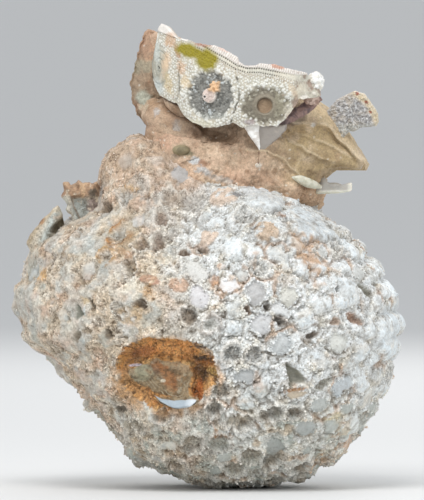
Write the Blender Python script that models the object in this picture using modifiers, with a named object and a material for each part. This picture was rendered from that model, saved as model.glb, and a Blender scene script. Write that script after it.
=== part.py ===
"""A fossil coral head with the rock it was found in, a piece of a sea urchin's test and shell fragments.

The coral is one silicified lump, cut off flat where it grew. Tan rock fills the saddle on its top and holds
the urchin test, which leans out in front of it. The smaller shells sit on the coral or on the rock.
Metres, +Z up, +X to the right and -Y to the front. The origin is on the flat base, in the middle.
"""

import math

import bmesh
import bpy
import numpy as np
from mathutils import Matrix, Vector

MM = 0.001
GAP = 0.3 * MM  # between pieces that touch

# Coral head: outline radii from its centre every 15 degrees, from +X towards +Z.
HEAD_CENTRE = (0.8 * MM, 0.0, 48.6 * MM)
HEAD_OUTLINE = (57.4, 54, 51.2, 48.8, 42, 41, 43.6, 57, 60, 53.5, 55, 61.5)
HEAD_OUTLINE += (61.4, 52, 47, 45, 47.4, 50, 51.5, 52.2, 55.3, 55.2, 55.6, 56.6)
HEAD_FRONT, HEAD_BACK = 42.6 * MM, 42.5 * MM
HEAD_SQUARENESS = 2.4
HEAD_SWELL, HEAD_SWELL_SEED = 0.9 * MM, 3
HEAD_AROUND, HEAD_ACROSS = 64, 28  # points round it and from front to back
SHOULDER_ANGLE = 108  # towards the shoulder under the rock, which is set back from the front
SHOULDER_SETBACK = 15 * MM
SHOULDER_FULL, SHOULDER_END = 12, 50  # degrees from its middle where the setback is whole and where it ends

# Rock matrix: (angle, radius) from its centre, and how far it reaches forward at (angle, reach).
MATRIX_CENTRE = (8 * MM, 10 * MM, 104 * MM)
MATRIX_OUTLINE = (
    (-38, 32.3), (-25, 28.1), (-22.8, 27), (-16, 31), (-11.8, 40.7), (-6.7, 38), (-2.2, 35.6), (3.4, 33.6),
    (24, 27), (40, 25), (79, 20.5), (108, 25), (120, 37), (129, 42.6), (140, 39.5), (152, 35.6), (164, 32.3),
    (170, 27.5), (200, 27), (240, 26), (270, 25), (300, 28),
)
MATRIX_REACH = (
    (0, 21), (40, 21), (90, 18), (112, 8), (120, 7), (150, 7), (163, 9), (172, 15), (200, 26), (230, 28),
    (270, 27), (300, 26), (330, 22),
)
MATRIX_BACK = 11 * MM
MATRIX_SQUARENESS = 3.0
MATRIX_SWELL, MATRIX_SWELL_SEED = 0.7 * MM, 11
MATRIX_AROUND, MATRIX_ACROSS = 60, 24
PAD_CENTRE = (9 * MM, -3 * MM, 117 * MM)  # rock that fills the hollow of the urchin test
PAD_RADII = (22 * MM, 16 * MM, 9 * MM)

# Sea urchin test: bottom and top edges from left to right as (x, z), and its curvature.
TEST_BOTTOM = ((-17.3, 127), (-16.8, 121.5), (-14.9, 117.6), (-9.5, 114.4), (-3, 109), (2, 108.2))
TEST_BOTTOM += ((8.3, 110.6), (12, 109), (16.4, 108.5), (21.5, 109.6), (26, 114), (33, 117.6))
TEST_TOP = ((-15.6, 134), (-14.3, 139.2), (-10, 134.8), (-5.9, 134.5), (-1.4, 133.5), (4, 131.7))
TEST_TOP += ((8.6, 128.4), (12, 126.4), (17, 127.2), (22, 126.3), (29, 124), (34.2, 124.2))
TEST_FRONT = (13.6 * MM, -20 * MM, 114 * MM)  # its foremost point
TEST_MIDDLE = (8 * MM, 120 * MM)  # middle of its outline, as (x, z)
TEST_RADIUS_ACROSS = 33 * MM
TEST_RADIUS_UP = 40 * MM
TEST_THICKNESS = 2.8 * MM
TEST_COLUMNS, TEST_ROWS = 22, 10
TEST_SPACE_MARGIN = 1.03  # how much wider the space for it in the rock is
TEST_SPACE_REACH = 6 * MM  # how far that space goes on in front of it

# Pocket in the front of the coral, and the clam shell in it.
POCKET_CENTRE = (-12.4 * MM, -40.2 * MM, 35.0 * MM)
POCKET_RADII = (15.0 * MM, 6.8 * MM, 11.2 * MM)
CLAM_CENTRE_X, CLAM_CENTRE_Z = -13.4 * MM, 33.4 * MM
CLAM_HALF_WIDTH, CLAM_HALF_HEIGHT = 9.8 * MM, 8.0 * MM
CLAM_THICKNESS = 1.4 * MM
CLAM_COLUMNS, CLAM_ROWS = 10, 8
ROUND_AROUND, ROUND_ACROSS = 32, 16  # points of an ellipsoid, round it and from pole to pole

# Flat-sided shells: outlines as (x, z), middle of their thickness and the thickness.
SIDE_SHELL = ((33.5, 108), (35.2, 113), (40.7, 117.6), (43.7, 119), (46.7, 118), (48.8, 115.2), (50.6, 112.4))
SIDE_SHELL += ((50.9, 109.5), (50, 108.2), (45.7, 108), (42, 107), (38, 102))
SIDE_SHELL_Y, SIDE_SHELL_THICKNESS = 1 * MM, 6 * MM
CHIP = ((30, 90.2), (34, 93.4), (36, 91.4), (39.2, 91.1), (40.6, 90.3), (42.7, 91.5), (42.8, 88.7))
CHIP += ((36, 88), (30, 88))
CHIP_Y, CHIP_THICKNESS = -1 * MM, 3 * MM
RUSTY_SHELL = ((-44, 78), (-44.5, 87.3), (-43.9, 91.6), (-39.2, 92.4), (-33.6, 92), (-31.6, 86))
RUSTY_SHELL += ((-32, 80), (-36, 77))
RUSTY_SHELL_Y, RUSTY_SHELL_THICKNESS = -7 * MM, 8 * MM
GREY_SHELL = ((-54.8, 73), (-52, 78.2), (-48.6, 82), (-45.6, 84.6), (-44.9, 81.8), (-44.8, 76))
GREY_SHELL += ((-46, 66), (-54, 64))
GREY_SHELL_Y, GREY_SHELL_THICKNESS = -8 * MM, 6 * MM

# Wedge of shell under the urchin test: its corners.
WEDGE_CORNERS = (
    (9.8, -15.5, 109.6), (12.8, -17, 108), (23, -14.5, 109), (21, -9, 107),
    (15.6, -15.5, 101), (15, -9, 99), (11, -8, 106),
)

# What each piece is made of, its colour and its roughness.
FINISHES = {
    "coral_head": ("coral silica", (0.62, 0.58, 0.51), 0.75),
    "matrix": ("tan rock", (0.46, 0.36, 0.27), 0.7),
    "urchin_test": ("urchin calcite", (0.67, 0.63, 0.54), 0.6),
    "shell_wedge": ("wedge shell", (0.42, 0.42, 0.4), 0.5),
    "side_shell": ("side shell", (0.45, 0.43, 0.4), 0.55),
    "shell_chip": ("shell chip", (0.5, 0.49, 0.44), 0.55),
    "clam_shell": ("clam shell", (0.42, 0.33, 0.24), 0.5),
    "rusty_shell": ("rusty shell", (0.45, 0.3, 0.18), 0.6),
    "grey_shell": ("grey shell", (0.47, 0.44, 0.36), 0.6),
}

BASE_BLOCK = 0.2  # side of the block that cuts the coral's flat base

scene = bpy.context.scene


def clear_scene():
    for old in list(bpy.data.objects):
        bpy.data.objects.remove(old, do_unlink=True)


def new_collection(name):
    made = bpy.data.collections.new(name)
    scene.collection.children.link(made)
    return made


def finish(part):
    """Gives a piece the material of its name."""
    name, colour, roughness = FINISHES[part.name]
    made = bpy.data.materials.new(name)
    made.use_nodes = True
    shader = made.node_tree.nodes["Principled BSDF"]
    shader.inputs["Base Color"].default_value = (*colour, 1.0)
    shader.inputs["Roughness"].default_value = roughness
    shader.inputs["Metallic"].default_value = 0.0
    part.data.materials.append(made)


def finish_mesh(bm, name, collection):
    """Puts a bmesh into a new object whose faces point outwards."""
    bmesh.ops.recalc_face_normals(bm, faces=bm.faces)
    mesh = bpy.data.meshes.new(name)
    bm.to_mesh(mesh)
    bm.free()
    made = bpy.data.objects.new(name, mesh)
    collection.objects.link(made)
    return made


def hide_cutter(cutter):
    cutter.hide_render = True
    cutter.display_type = "WIRE"


def boolean(target, cutter, operation="DIFFERENCE"):
    step = target.modifiers.new(f"{operation.lower()} {cutter.name}", "BOOLEAN")
    step.operation = operation
    step.solver = "EXACT"
    step.object = cutter


def swell(directions, seed, waves=7, pitch=4.0):
    """Sum of a few sine waves across the lump, each in its own direction, between about -1 and 1."""
    random = np.random.default_rng(seed)
    axes = random.normal(size=(waves, 3)) * pitch
    phases = random.uniform(0, 2 * math.pi, waves)
    return np.sin(directions @ axes.T + phases).sum(axis=1) / math.sqrt(waves)


def lump_radius(directions, outline, front, back, squareness):
    """Radius of a rounded lump: the outline in the XZ plane, closed front and back as a superellipse."""
    angle = np.degrees(np.arctan2(directions[:, 2], directions[:, 0]))
    flat = np.hypot(directions[:, 0], directions[:, 2])
    across = np.interp(angle, [a for a, _ in outline], [r * MM for _, r in outline], period=360)
    middle = across.mean()
    across = middle + (across - middle) * flat**2
    reach = np.where(directions[:, 1] < 0, front(angle, flat), back)
    sides = (flat / across) ** squareness + (np.abs(directions[:, 1]) / reach) ** squareness
    return sides ** (-1 / squareness)


def head_front(angle, flat):
    """How far the head reaches forward: less towards the shoulder, and evenly less near its rim."""
    aside = np.abs((angle - SHOULDER_ANGLE + 180) % 360 - 180)
    share = np.interp(aside, (SHOULDER_FULL, SHOULDER_END), (1, 0))
    return HEAD_FRONT - SHOULDER_SETBACK * share * flat**2


def head_radius(directions):
    step = 360 / len(HEAD_OUTLINE)
    outline = [(step * i, radius) for i, radius in enumerate(HEAD_OUTLINE)]
    radius = lump_radius(directions, outline, head_front, HEAD_BACK, HEAD_SQUARENESS)
    return radius + HEAD_SWELL * swell(directions, HEAD_SWELL_SEED)


def matrix_radius(directions):
    angles = [a for a, _ in MATRIX_REACH]
    reaches = [r * MM for _, r in MATRIX_REACH]
    middle = sum(reaches) / len(reaches)

    def front(angle, flat):
        return middle + (np.interp(angle, angles, reaches, period=360) - middle) * flat

    radius = lump_radius(directions, MATRIX_OUTLINE, front, MATRIX_BACK, MATRIX_SQUARENESS)
    return radius + MATRIX_SWELL * swell(directions, MATRIX_SWELL_SEED)


def lump(name, collection, centre, radius, around, across, grow=0.0):
    """A sphere, its poles to the front and back, with points moved out to radius(direction) plus grow."""
    bm = bmesh.new()
    turn = Matrix.Rotation(math.pi / 2, 4, "X")
    bmesh.ops.create_uvsphere(bm, u_segments=around, v_segments=across, radius=1.0, matrix=turn)
    directions = np.array([vertex.co for vertex in bm.verts])
    points = np.array(centre) + directions * (radius(directions) + grow)[:, None]
    for vertex, point in zip(bm.verts, points):
        vertex.co = point
    return finish_mesh(bm, name, collection)


def ellipsoid(name, collection, centre, radii, grow=0.0):
    bm = bmesh.new()
    bmesh.ops.create_uvsphere(bm, u_segments=ROUND_AROUND, v_segments=ROUND_ACROSS, radius=1.0)
    size = [r + grow for r in radii]
    place = Matrix.Translation(centre) @ Matrix.Diagonal((*size, 1.0))
    bmesh.ops.transform(bm, matrix=place, verts=bm.verts)
    return finish_mesh(bm, name, collection)


def curved_plate(name, collection, columns, rows, place, thickness, offset=-1.0):
    """A grid from -1 to 1 each way, put in place by place(s, t), with a wall of that thickness behind."""
    bm = bmesh.new()
    bmesh.ops.create_grid(bm, x_segments=columns, y_segments=rows, size=1.0)
    for vertex in bm.verts:
        vertex.co = place(vertex.co.x, vertex.co.y)
    mesh = bpy.data.meshes.new(name)
    bm.to_mesh(mesh)
    bm.free()
    made = bpy.data.objects.new(name, mesh)
    collection.objects.link(made)
    wall = made.modifiers.new("wall", "SOLIDIFY")
    wall.thickness = thickness
    wall.offset = offset
    return made


def flat_plate(name, collection, outline, y_middle, thickness):
    """A filled outline in the XZ plane, given a thickness along Y, as one closed mesh."""
    curve = bpy.data.curves.new(name, "CURVE")
    curve.dimensions = "2D"
    curve.fill_mode = "BOTH"
    curve.extrude = thickness / 2
    spline = curve.splines.new("POLY")
    spline.points.add(len(outline) - 1)
    for point, (x, z) in zip(spline.points, outline):
        point.co = (x * MM, z * MM, 0.0, 1.0)
    spline.use_cyclic_u = True
    drawn = bpy.data.objects.new(f"{name} outline", curve)
    collection.objects.link(drawn)
    drawn.location = (0.0, y_middle, 0.0)
    drawn.rotation_euler = (math.pi / 2, 0.0, 0.0)
    bpy.context.view_layer.update()
    graph = bpy.context.evaluated_depsgraph_get()
    mesh = bpy.data.meshes.new_from_object(drawn.evaluated_get(graph))
    bm = bmesh.new()
    bm.from_mesh(mesh)
    bmesh.ops.remove_doubles(bm, verts=bm.verts, dist=0.01 * MM)
    made = finish_mesh(bm, name, collection)
    made.matrix_world = drawn.matrix_world
    bpy.data.objects.remove(drawn, do_unlink=True)
    bpy.data.meshes.remove(mesh)
    return made


def chunk(name, collection, corners):
    """The convex body around its corners."""
    bm = bmesh.new()
    for corner in corners:
        bm.verts.new(Vector(corner) * MM)
    bmesh.ops.convex_hull(bm, input=bm.verts)
    return finish_mesh(bm, name, collection)


def base_cutter(collection):
    """A block whose top is the ground."""
    bm = bmesh.new()
    bmesh.ops.create_cube(bm, size=BASE_BLOCK, matrix=Matrix.Translation((0.0, 0.0, -BASE_BLOCK / 2)))
    return finish_mesh(bm, "ground block", collection)


def test_place(s, t, margin=1.0):
    """A point of the urchin test: between its bottom and top edges, on a surface curved both ways."""
    steps = np.linspace(-1, 1, len(TEST_BOTTOM))
    low = [np.interp(s, steps, [p[i] * MM for p in TEST_BOTTOM]) for i in (0, 1)]
    high = [np.interp(s, steps, [p[i] * MM for p in TEST_TOP]) for i in (0, 1)]
    x, z = [low[i] + (high[i] - low[i]) * (t + 1) / 2 for i in (0, 1)]
    x = TEST_MIDDLE[0] + (x - TEST_MIDDLE[0]) * margin
    z = TEST_MIDDLE[1] + (z - TEST_MIDDLE[1]) * margin
    round_back = TEST_RADIUS_ACROSS - math.sqrt(TEST_RADIUS_ACROSS**2 - (x - TEST_FRONT[0]) ** 2)
    lean_back = (z - TEST_FRONT[2]) ** 2 / (2 * TEST_RADIUS_UP)
    return (x, TEST_FRONT[1] + round_back + lean_back, z)


def clam_place(s, t):
    """A point of the clam shell: an oval bowl that follows the wall of the pocket, a gap away from it."""
    x = CLAM_CENTRE_X + CLAM_HALF_WIDTH * s * math.sqrt(1 - t * t / 2)
    z = CLAM_CENTRE_Z + CLAM_HALF_HEIGHT * t * math.sqrt(1 - s * s / 2)
    across = (x - POCKET_CENTRE[0]) / POCKET_RADII[0]
    up = (z - POCKET_CENTRE[2]) / POCKET_RADII[2]
    depth = (POCKET_RADII[1] - 2 * GAP) * math.sqrt(max(1 - across**2 - up**2, 0.0))
    return (x, POCKET_CENTRE[1] + depth - CLAM_THICKNESS, z)


def head_lump(name, collection, grow=0.0):
    return lump(name, collection, HEAD_CENTRE, head_radius, HEAD_AROUND, HEAD_ACROSS, grow)


def matrix_lump(name, collection, grow=0.0):
    return lump(name, collection, MATRIX_CENTRE, matrix_radius, MATRIX_AROUND, MATRIX_ACROSS, grow)


def coral_head(parts, cutters):
    made = head_lump("coral_head", parts)
    boolean(made, base_cutter(cutters))
    boolean(made, ellipsoid("pocket", cutters, POCKET_CENTRE, POCKET_RADII))
    finish(made)


def rock_matrix(parts, cutters, coral_space, test_space):
    made = matrix_lump("matrix", parts)
    boolean(made, ellipsoid("pad", cutters, PAD_CENTRE, PAD_RADII), "UNION")
    boolean(made, coral_space)
    boolean(made, test_space)
    finish(made)


def urchin_test(parts):
    finish(curved_plate("urchin_test", parts, TEST_COLUMNS, TEST_ROWS, test_place, TEST_THICKNESS))


def clam_shell(parts):
    finish(curved_plate("clam_shell", parts, CLAM_COLUMNS, CLAM_ROWS, clam_place, CLAM_THICKNESS, 1.0))


def resting_plate(parts, name, outline, y_middle, thickness, spaces):
    """A flat shell fragment, cut to sit on what it rests on."""
    made = flat_plate(name, parts, outline, y_middle, thickness)
    for space in spaces:
        boolean(made, space)
    finish(made)


def shell_wedge(parts, spaces):
    made = chunk("shell_wedge", parts, WEDGE_CORNERS)
    for space in spaces:
        boolean(made, space)
    finish(made)


def test_space_in_rock(cutters):
    """The urchin test a gap wider all round, and open to the front."""
    wall = TEST_THICKNESS + 3 * GAP
    deep = TEST_SPACE_REACH + wall
    offset = 2 * TEST_SPACE_REACH / deep - 1

    def place(s, t):
        return test_place(s, t, TEST_SPACE_MARGIN)

    return curved_plate("test space", cutters, TEST_COLUMNS, TEST_ROWS, place, deep, offset)


def build():
    clear_scene()
    parts = new_collection("fossil_coral")
    cutters = new_collection("cutters")
    coral_space = head_lump("coral space", cutters, GAP)
    matrix_space = matrix_lump("matrix space", cutters, GAP)
    pad_space = ellipsoid("pad space", cutters, PAD_CENTRE, PAD_RADII, GAP)
    test_space = test_space_in_rock(cutters)
    on_rock = (matrix_space, coral_space)
    on_coral = (coral_space,)
    coral_head(parts, cutters)
    rock_matrix(parts, cutters, coral_space, test_space)
    urchin_test(parts)
    clam_shell(parts)
    resting_plate(parts, "side_shell", SIDE_SHELL, SIDE_SHELL_Y, SIDE_SHELL_THICKNESS, on_rock)
    resting_plate(parts, "shell_chip", CHIP, CHIP_Y, CHIP_THICKNESS, on_rock)
    resting_plate(parts, "rusty_shell", RUSTY_SHELL, RUSTY_SHELL_Y, RUSTY_SHELL_THICKNESS, on_coral)
    resting_plate(parts, "grey_shell", GREY_SHELL, GREY_SHELL_Y, GREY_SHELL_THICKNESS, on_coral)
    shell_wedge(parts, (matrix_space, pad_space, test_space))
    for cutter in cutters.objects:
        hide_cutter(cutter)


build()
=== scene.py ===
import itertools
import math
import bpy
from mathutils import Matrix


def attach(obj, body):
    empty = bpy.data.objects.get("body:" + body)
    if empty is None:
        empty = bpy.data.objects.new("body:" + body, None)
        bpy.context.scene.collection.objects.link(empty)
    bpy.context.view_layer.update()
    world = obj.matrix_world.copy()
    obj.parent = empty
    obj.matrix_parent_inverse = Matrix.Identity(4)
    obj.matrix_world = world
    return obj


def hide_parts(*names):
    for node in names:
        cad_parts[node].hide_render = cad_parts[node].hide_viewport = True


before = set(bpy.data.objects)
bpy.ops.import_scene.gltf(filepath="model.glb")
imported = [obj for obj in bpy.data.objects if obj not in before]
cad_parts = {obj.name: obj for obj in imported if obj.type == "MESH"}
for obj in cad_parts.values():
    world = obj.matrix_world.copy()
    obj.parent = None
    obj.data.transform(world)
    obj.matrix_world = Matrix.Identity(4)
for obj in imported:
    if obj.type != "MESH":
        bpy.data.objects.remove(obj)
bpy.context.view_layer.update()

from types import SimpleNamespace

import bpy
import numpy as np
from mathutils import Vector

# ----------------------------------------------------------
# Table, light and camera. The specimen stands on a plain pale table, in the soft light of a wide lamp above
# and a little in front of it, with a weak lamp on each side. The camera is far off, level with its middle.

CAMERA_FAR = 4.0
CAMERA_RISE = math.radians(2)
FRAME_HEIGHT = 0.150  # what the picture takes in at the specimen
AIM = Vector((0.0008, 0.0, 0.0712))

camera_data = bpy.data.cameras.new("camera")
camera_data.sensor_fit = "VERTICAL"
camera_data.sensor_height = 24
camera_data.lens = 24 * CAMERA_FAR / FRAME_HEIGHT
camera_data.clip_start = 0.1
camera = bpy.data.objects.new("camera", camera_data)
bpy.context.scene.collection.objects.link(camera)
camera.location = AIM + CAMERA_FAR * Vector((0.0, -math.cos(CAMERA_RISE), math.sin(CAMERA_RISE)))
camera.rotation_euler = (AIM - camera.location).to_track_quat("-Z", "Y").to_euler()
bpy.context.scene.camera = camera
bpy.context.scene.view_settings.view_transform = "Standard"


def lamp(name, place, width, watts):
    """A square lamp of that width and power, turned to the middle of the specimen."""
    data = bpy.data.lights.new(name, "AREA")
    data.shape = "SQUARE"
    data.size = width
    data.energy = watts
    made = bpy.data.objects.new(name, data)
    made.location = place
    made.rotation_euler = (AIM - Vector(place)).to_track_quat("-Z", "Y").to_euler()
    bpy.context.scene.collection.objects.link(made)


lamp("lamp above", (-0.10, -0.40, 0.72), 0.40, 3.6)
lamp("lamp left", (-0.75, -0.45, 0.25), 0.5, 0.8)
lamp("lamp right", (0.75, -0.35, 0.3), 0.5, 1.2)
lamp("lamp behind", (0.2, 0.8, 0.55), 0.6, 2.2)

world = bpy.data.worlds.new("room")
bpy.context.scene.world = world
world.use_nodes = True
room = world.node_tree
room_light = room.nodes["Background"]
room_light.inputs["Color"].default_value = (0.93, 0.96, 1, 1)
room_light.inputs["Strength"].default_value = 0.7
room_seen = room.nodes.new("ShaderNodeBackground")
room_seen.inputs["Color"].default_value = (0.83, 0.83, 0.82, 1)
room_rays = room.nodes.new("ShaderNodeLightPath")
room_choice = room.nodes.new("ShaderNodeMixShader")
room.links.new(room_rays.outputs["Is Camera Ray"], room_choice.inputs["Fac"])
room.links.new(room_light.outputs[0], room_choice.inputs[1])
room.links.new(room_seen.outputs[0], room_choice.inputs[2])
room.links.new(room_choice.outputs[0], room.nodes["World Output"].inputs["Surface"])

table_mesh = bpy.data.meshes.new("table")
table_mesh.from_pydata([(-14, -14, 0), (14, -14, 0), (14, 14, 0), (-14, 14, 0)], [], [(0, 1, 2, 3)])
table = bpy.data.objects.new("table", table_mesh)
bpy.context.scene.collection.objects.link(table)
table_paint = bpy.data.materials.new("pale table")
table_paint.use_nodes = True
table_paint.node_tree.nodes["Principled BSDF"].inputs["Base Color"].default_value = (0.72, 0.72, 0.71, 1)
table_paint.node_tree.nodes["Principled BSDF"].inputs["Roughness"].default_value = 0.9
table_mesh.materials.append(table_paint)

# ----------------------------------------------------------
# Coral head. One silicified lump, closed all over with corallites about 6 mm across: cups with a wall round
# them, cups filled level with smooth grey silica, and stretches of porous crust. It grew as one piece.
# Lengths in mm.

HEAD_CENTRE = np.array([0.8, 0.0, 48.6])
HEAD_OUTLINE = (  # radius at even steps, from +X towards +Z
    54.8, 53, 49.4, 47.6, 45.5, 45.5, 47.5, 58.4, 60.4, 51.6, 57, 58.8, 57, 47.6, 44.2, 42, 46.4, 46.9,
    48.3, 49.7, 52.4, 54, 53.6, 54.4,
)
HEAD_STEP = 360 / len(HEAD_OUTLINE)
HEAD_LOBES = (  # angle, half width, height
    (37, 3.8, 1.8), (29.5, 3.4, 2.2), (21, 3.8, 1.8), (12, 5.2, 2.4), (1.8, 4.6, 2.8), (-7, 4.2, 2.4),
    (-17.5, 5.8, 2.4), (-27, 3.6, 1.8), (-35, 4.2, 1.6), (-45, 5, 1.6), (-57, 5, 1.4), (-70, 6, 1.2),
    (112, 3, 1.2), (172, 5, 1.4), (184, 3, 1.8), (196, 5, 1.4), (210.5, 2.8, 2.2), (222, 6, 1), (236, 5, 1.2),
)
HEAD_DEPTH = 42.0
HEAD_SQUARENESS = 2.4
SHOULDER = 114  # the angle of the shoulder under the rock
SHOULDER_SLOPE = 19.0  # how much shallower the front is there
CORALLITE = 6.0
LATTICE = np.random.default_rng(4).random((64, 64, 64))


def screen_colour(red, green, blue):
    """Linear light of a colour given as 0 to 255 screen values."""
    share = np.array([red, green, blue]) / 255
    return np.where(share < 0.0405, share / 12.92, ((share + 0.055) / 1.055) ** 2.4)


def noise(points, size, seed):
    """Random values on a cubic lattice of that size, blended between its corners with 3f^2 - 2f^3; -1 to
    1."""
    spots = points / size + 13.7 * seed
    corner = np.floor(spots).astype(int)
    share = spots - corner
    share = share * share * (3 - 2 * share)
    total = np.zeros(len(points))
    for step in itertools.product((0, 1), repeat=3):
        weight = np.prod(np.where(np.array(step) == 1, share, 1 - share), axis=1)
        index = (corner + step) & 63
        total += weight * LATTICE[index[:, 0], index[:, 1], index[:, 2]]
    return 2 * total - 1


def rough_noise(points, size, octaves, seed):
    """Sum of noise at half the size and 0.55 of the height each time."""
    total, height, scale = np.zeros(len(points)), 1.0, 0.0
    for octave in range(octaves):
        total += height * noise(points, size / 2**octave, seed + 7 * octave)
        scale += height
        height *= 0.55
    return total / scale


def ramp(value, low, high):
    """0 below low, 1 above high, with a smooth step between; low may be the larger."""
    share = np.clip((value - low) / (high - low), 0, 1)
    return share * share * (3 - 2 * share)


def hump(distance, width):
    """A bell curve: 1 at no distance, 0.37 at that width, and next to nothing at twice the width."""
    return np.exp(-((distance / width) ** 2))


def patches(points, size, octaves, seed, low, high):
    """Patches of about that size: 1 where the rough noise is past high, 0 where it is short of low."""
    return ramp(rough_noise(points, size, octaves, seed), low, high)


def wander(points, size, seeds, octaves=1):
    """Shifts from -1 to 1 along as many axes as there are seeds, which wander over that size."""
    return np.stack([rough_noise(points, size, octaves, seed) for seed in seeds], axis=1)


def grains(points, size, seed):
    """Loose grains of that size: the distance to the nearest and to the next of the random points, one in
    each cube of a lattice, in shares of the size, and a random value for the nearest."""
    spots = points / size + 7.3 * seed
    corner = np.floor(spots).astype(int)
    share = spots - corner
    first, second, mark = np.full(len(points), 9.0), np.full(len(points), 9.0), np.zeros(len(points))
    for step in itertools.product((-1, 0, 1), repeat=3):
        i, j, k = ((corner + step) & 63).T
        middle = np.stack([LATTICE[i, j, k], LATTICE[j, k, i], LATTICE[k, i, j]], axis=1)
        far = np.linalg.norm(step + middle - share, axis=1)
        second = np.minimum(second, np.maximum(first, far))
        mark = np.where(far < first, LATTICE[(i + 17) & 63, k, j], mark)
        first = np.minimum(first, far)
    return first, second, mark


def grid_quads(index):
    """Quads between the rows and columns of a grid of point numbers."""
    return np.stack([index[:-1, :-1], index[1:, :-1], index[1:, 1:], index[:-1, 1:]], axis=-1).reshape(-1, 4)


def sphere_grid(cuts, crowd=1.0):
    """Unit directions and quads of six square grids folded round a sphere. The angle a from -Y becomes
    2 atan(crowd tan(a / 2)), so crowd under 1 draws the points to the front."""
    steps = np.tan(np.linspace(-1, 1, cuts + 1) * math.pi / 4)
    u, v = np.meshgrid(steps, steps, indexing="ij")
    one = np.ones_like(u)
    sides = ((one, u, v), (-one, v, u), (v, one, u), (u, -one, v), (u, v, one), (v, u, -one))
    points = np.concatenate([np.stack(side, axis=-1).reshape(-1, 3) for side in sides])
    points /= np.linalg.norm(points, axis=1)[:, None]
    index = np.arange((cuts + 1) ** 2).reshape(cuts + 1, cuts + 1)
    quads = np.concatenate([grid_quads(index + side * index.size) for side in range(6)])
    _, first, same = np.unique(np.round(points * 1e6), axis=0, return_index=True, return_inverse=True)
    points, quads = points[first], same.reshape(-1)[quads]
    far = np.arccos(np.clip(-points[:, 1], -1, 1))
    near = 2 * np.arctan(crowd * np.tan(np.minimum(far, math.pi - 1e-6) / 2))
    aside = np.maximum(np.hypot(points[:, 0], points[:, 2]), 1e-9)
    turned = points * (np.sin(near) / aside)[:, None]
    turned[:, 1] = -np.cos(near)
    return turned, quads


def bearing(way):
    """The angle of directions in the XZ plane, in degrees from +X towards +Z."""
    return np.degrees(np.arctan2(way[:, 2], way[:, 0]))


def round_curve(values, degrees, step):
    """A closed smooth curve through values that are step degrees apart (Catmull-Rom)."""
    values = np.array(values, float)
    place = np.mod(degrees, 360) / step
    i = np.floor(place).astype(int)
    t = place - i
    a, b, c, d = (values[(i + k) % len(values)] for k in (-1, 0, 1, 2))
    return 0.5 * (2 * b + (c - a) * t + (2 * a - 5 * b + 4 * c - d) * t**2 + (3 * b - a - 3 * c + d) * t**3)


def head_radius(way):
    """Outline radius in the XZ plane, closed to the front and back as a superellipse that is shallower in
    front at the shoulder."""
    across = round_curve(HEAD_OUTLINE, bearing(way), HEAD_STEP)
    flat = np.hypot(way[:, 0], way[:, 2])
    middle = sum(HEAD_OUTLINE) / len(HEAD_OUTLINE)
    across = middle + (across - middle) * flat**2
    shoulder = ramp(np.abs((bearing(way) - SHOULDER + 180) % 360 - 180), 44, 8)
    depth = HEAD_DEPTH - SHOULDER_SLOPE * shoulder * flat**2 * (way[:, 1] < 0)
    sides = (flat / across) ** HEAD_SQUARENESS + (np.abs(way[:, 1]) / depth) ** HEAD_SQUARENESS
    return sides ** (-1 / HEAD_SQUARENESS)


def lobes(way):
    """Height of the lobes along the rim: half-ellipses over the angle round the Y axis, which wander and
    fade away from the rim."""
    degrees = bearing(way) + 5 * noise(50 * way, 17, 41)
    total = np.zeros(len(way))
    for middle, half, high in HEAD_LOBES:
        off = (degrees - middle + 180) % 360 - 180
        total = np.maximum(total, high * np.sqrt(np.maximum(1 - (off / half) ** 2, 0)))
    return total * hump(way[:, 1], 0.4)


def front_point(places):
    """The points of the coral's plain front surface at (x, z) places, by halving the stretch along Y."""
    places = np.array(places, float).reshape(-1, 2)
    near, far = np.full(len(places), -70.0), np.zeros(len(places))
    for _ in range(40):
        y = (near + far) / 2
        arm = np.stack([places[:, 0], y, places[:, 1]], axis=1) - HEAD_CENTRE
        reach = np.linalg.norm(arm, axis=1)
        outside = reach > head_radius(arm / reach[:, None])
        near, far = np.where(outside, y, near), np.where(outside, far, y)
    return np.stack([places[:, 0], far, places[:, 1]], axis=1)


def nearest_two(points, centres, sizes, block=8192):
    """For each point the centre that is nearest in shares of that centre's size, how far it is to the
    border with the next one, in mm, and how far to the centre itself."""
    found = []
    for start in range(0, len(points), block):
        part = points[start:start + block]
        square = (part**2).sum(1)[:, None] + (centres**2).sum(1)[None] - 2 * part @ centres.T
        share = np.sqrt(np.maximum(square, 0)) / sizes
        two = np.argpartition(share, 1, axis=1)[:, :2]
        value = np.take_along_axis(share, two, axis=1)
        swap = value[:, 0] > value[:, 1]
        two[swap], value[swap] = two[swap, ::-1], value[swap, ::-1]
        one, other = sizes[two[:, 0]], sizes[two[:, 1]]
        border = (value[:, 1] - value[:, 0]) * one * other / (one + other)
        found.append(np.stack([two[:, 0], border, value[:, 0] * one], axis=1))
    found = np.concatenate(found)
    return found[:, 0].astype(int), found[:, 1], found[:, 2]


def spot(points, x, z, wide, high, turn=0.0, edge=0.35, ragged=0.0, seed=0):
    """1 inside an oval on the front face at (x, z), 0 outside it, with a soft and ragged edge."""
    c, s = math.cos(math.radians(turn)), math.sin(math.radians(turn))
    a, b = points[:, 0] - x, points[:, 2] - z
    far = np.hypot((c * a + s * b) / wide, (c * b - s * a) / high)
    if ragged:
        far = far + ragged * rough_noise(points, 0.7 * min(wide, high), 3, seed)
    return ramp(far, 1 + edge, 1 - edge) * (points[:, 1] < 5)


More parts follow.
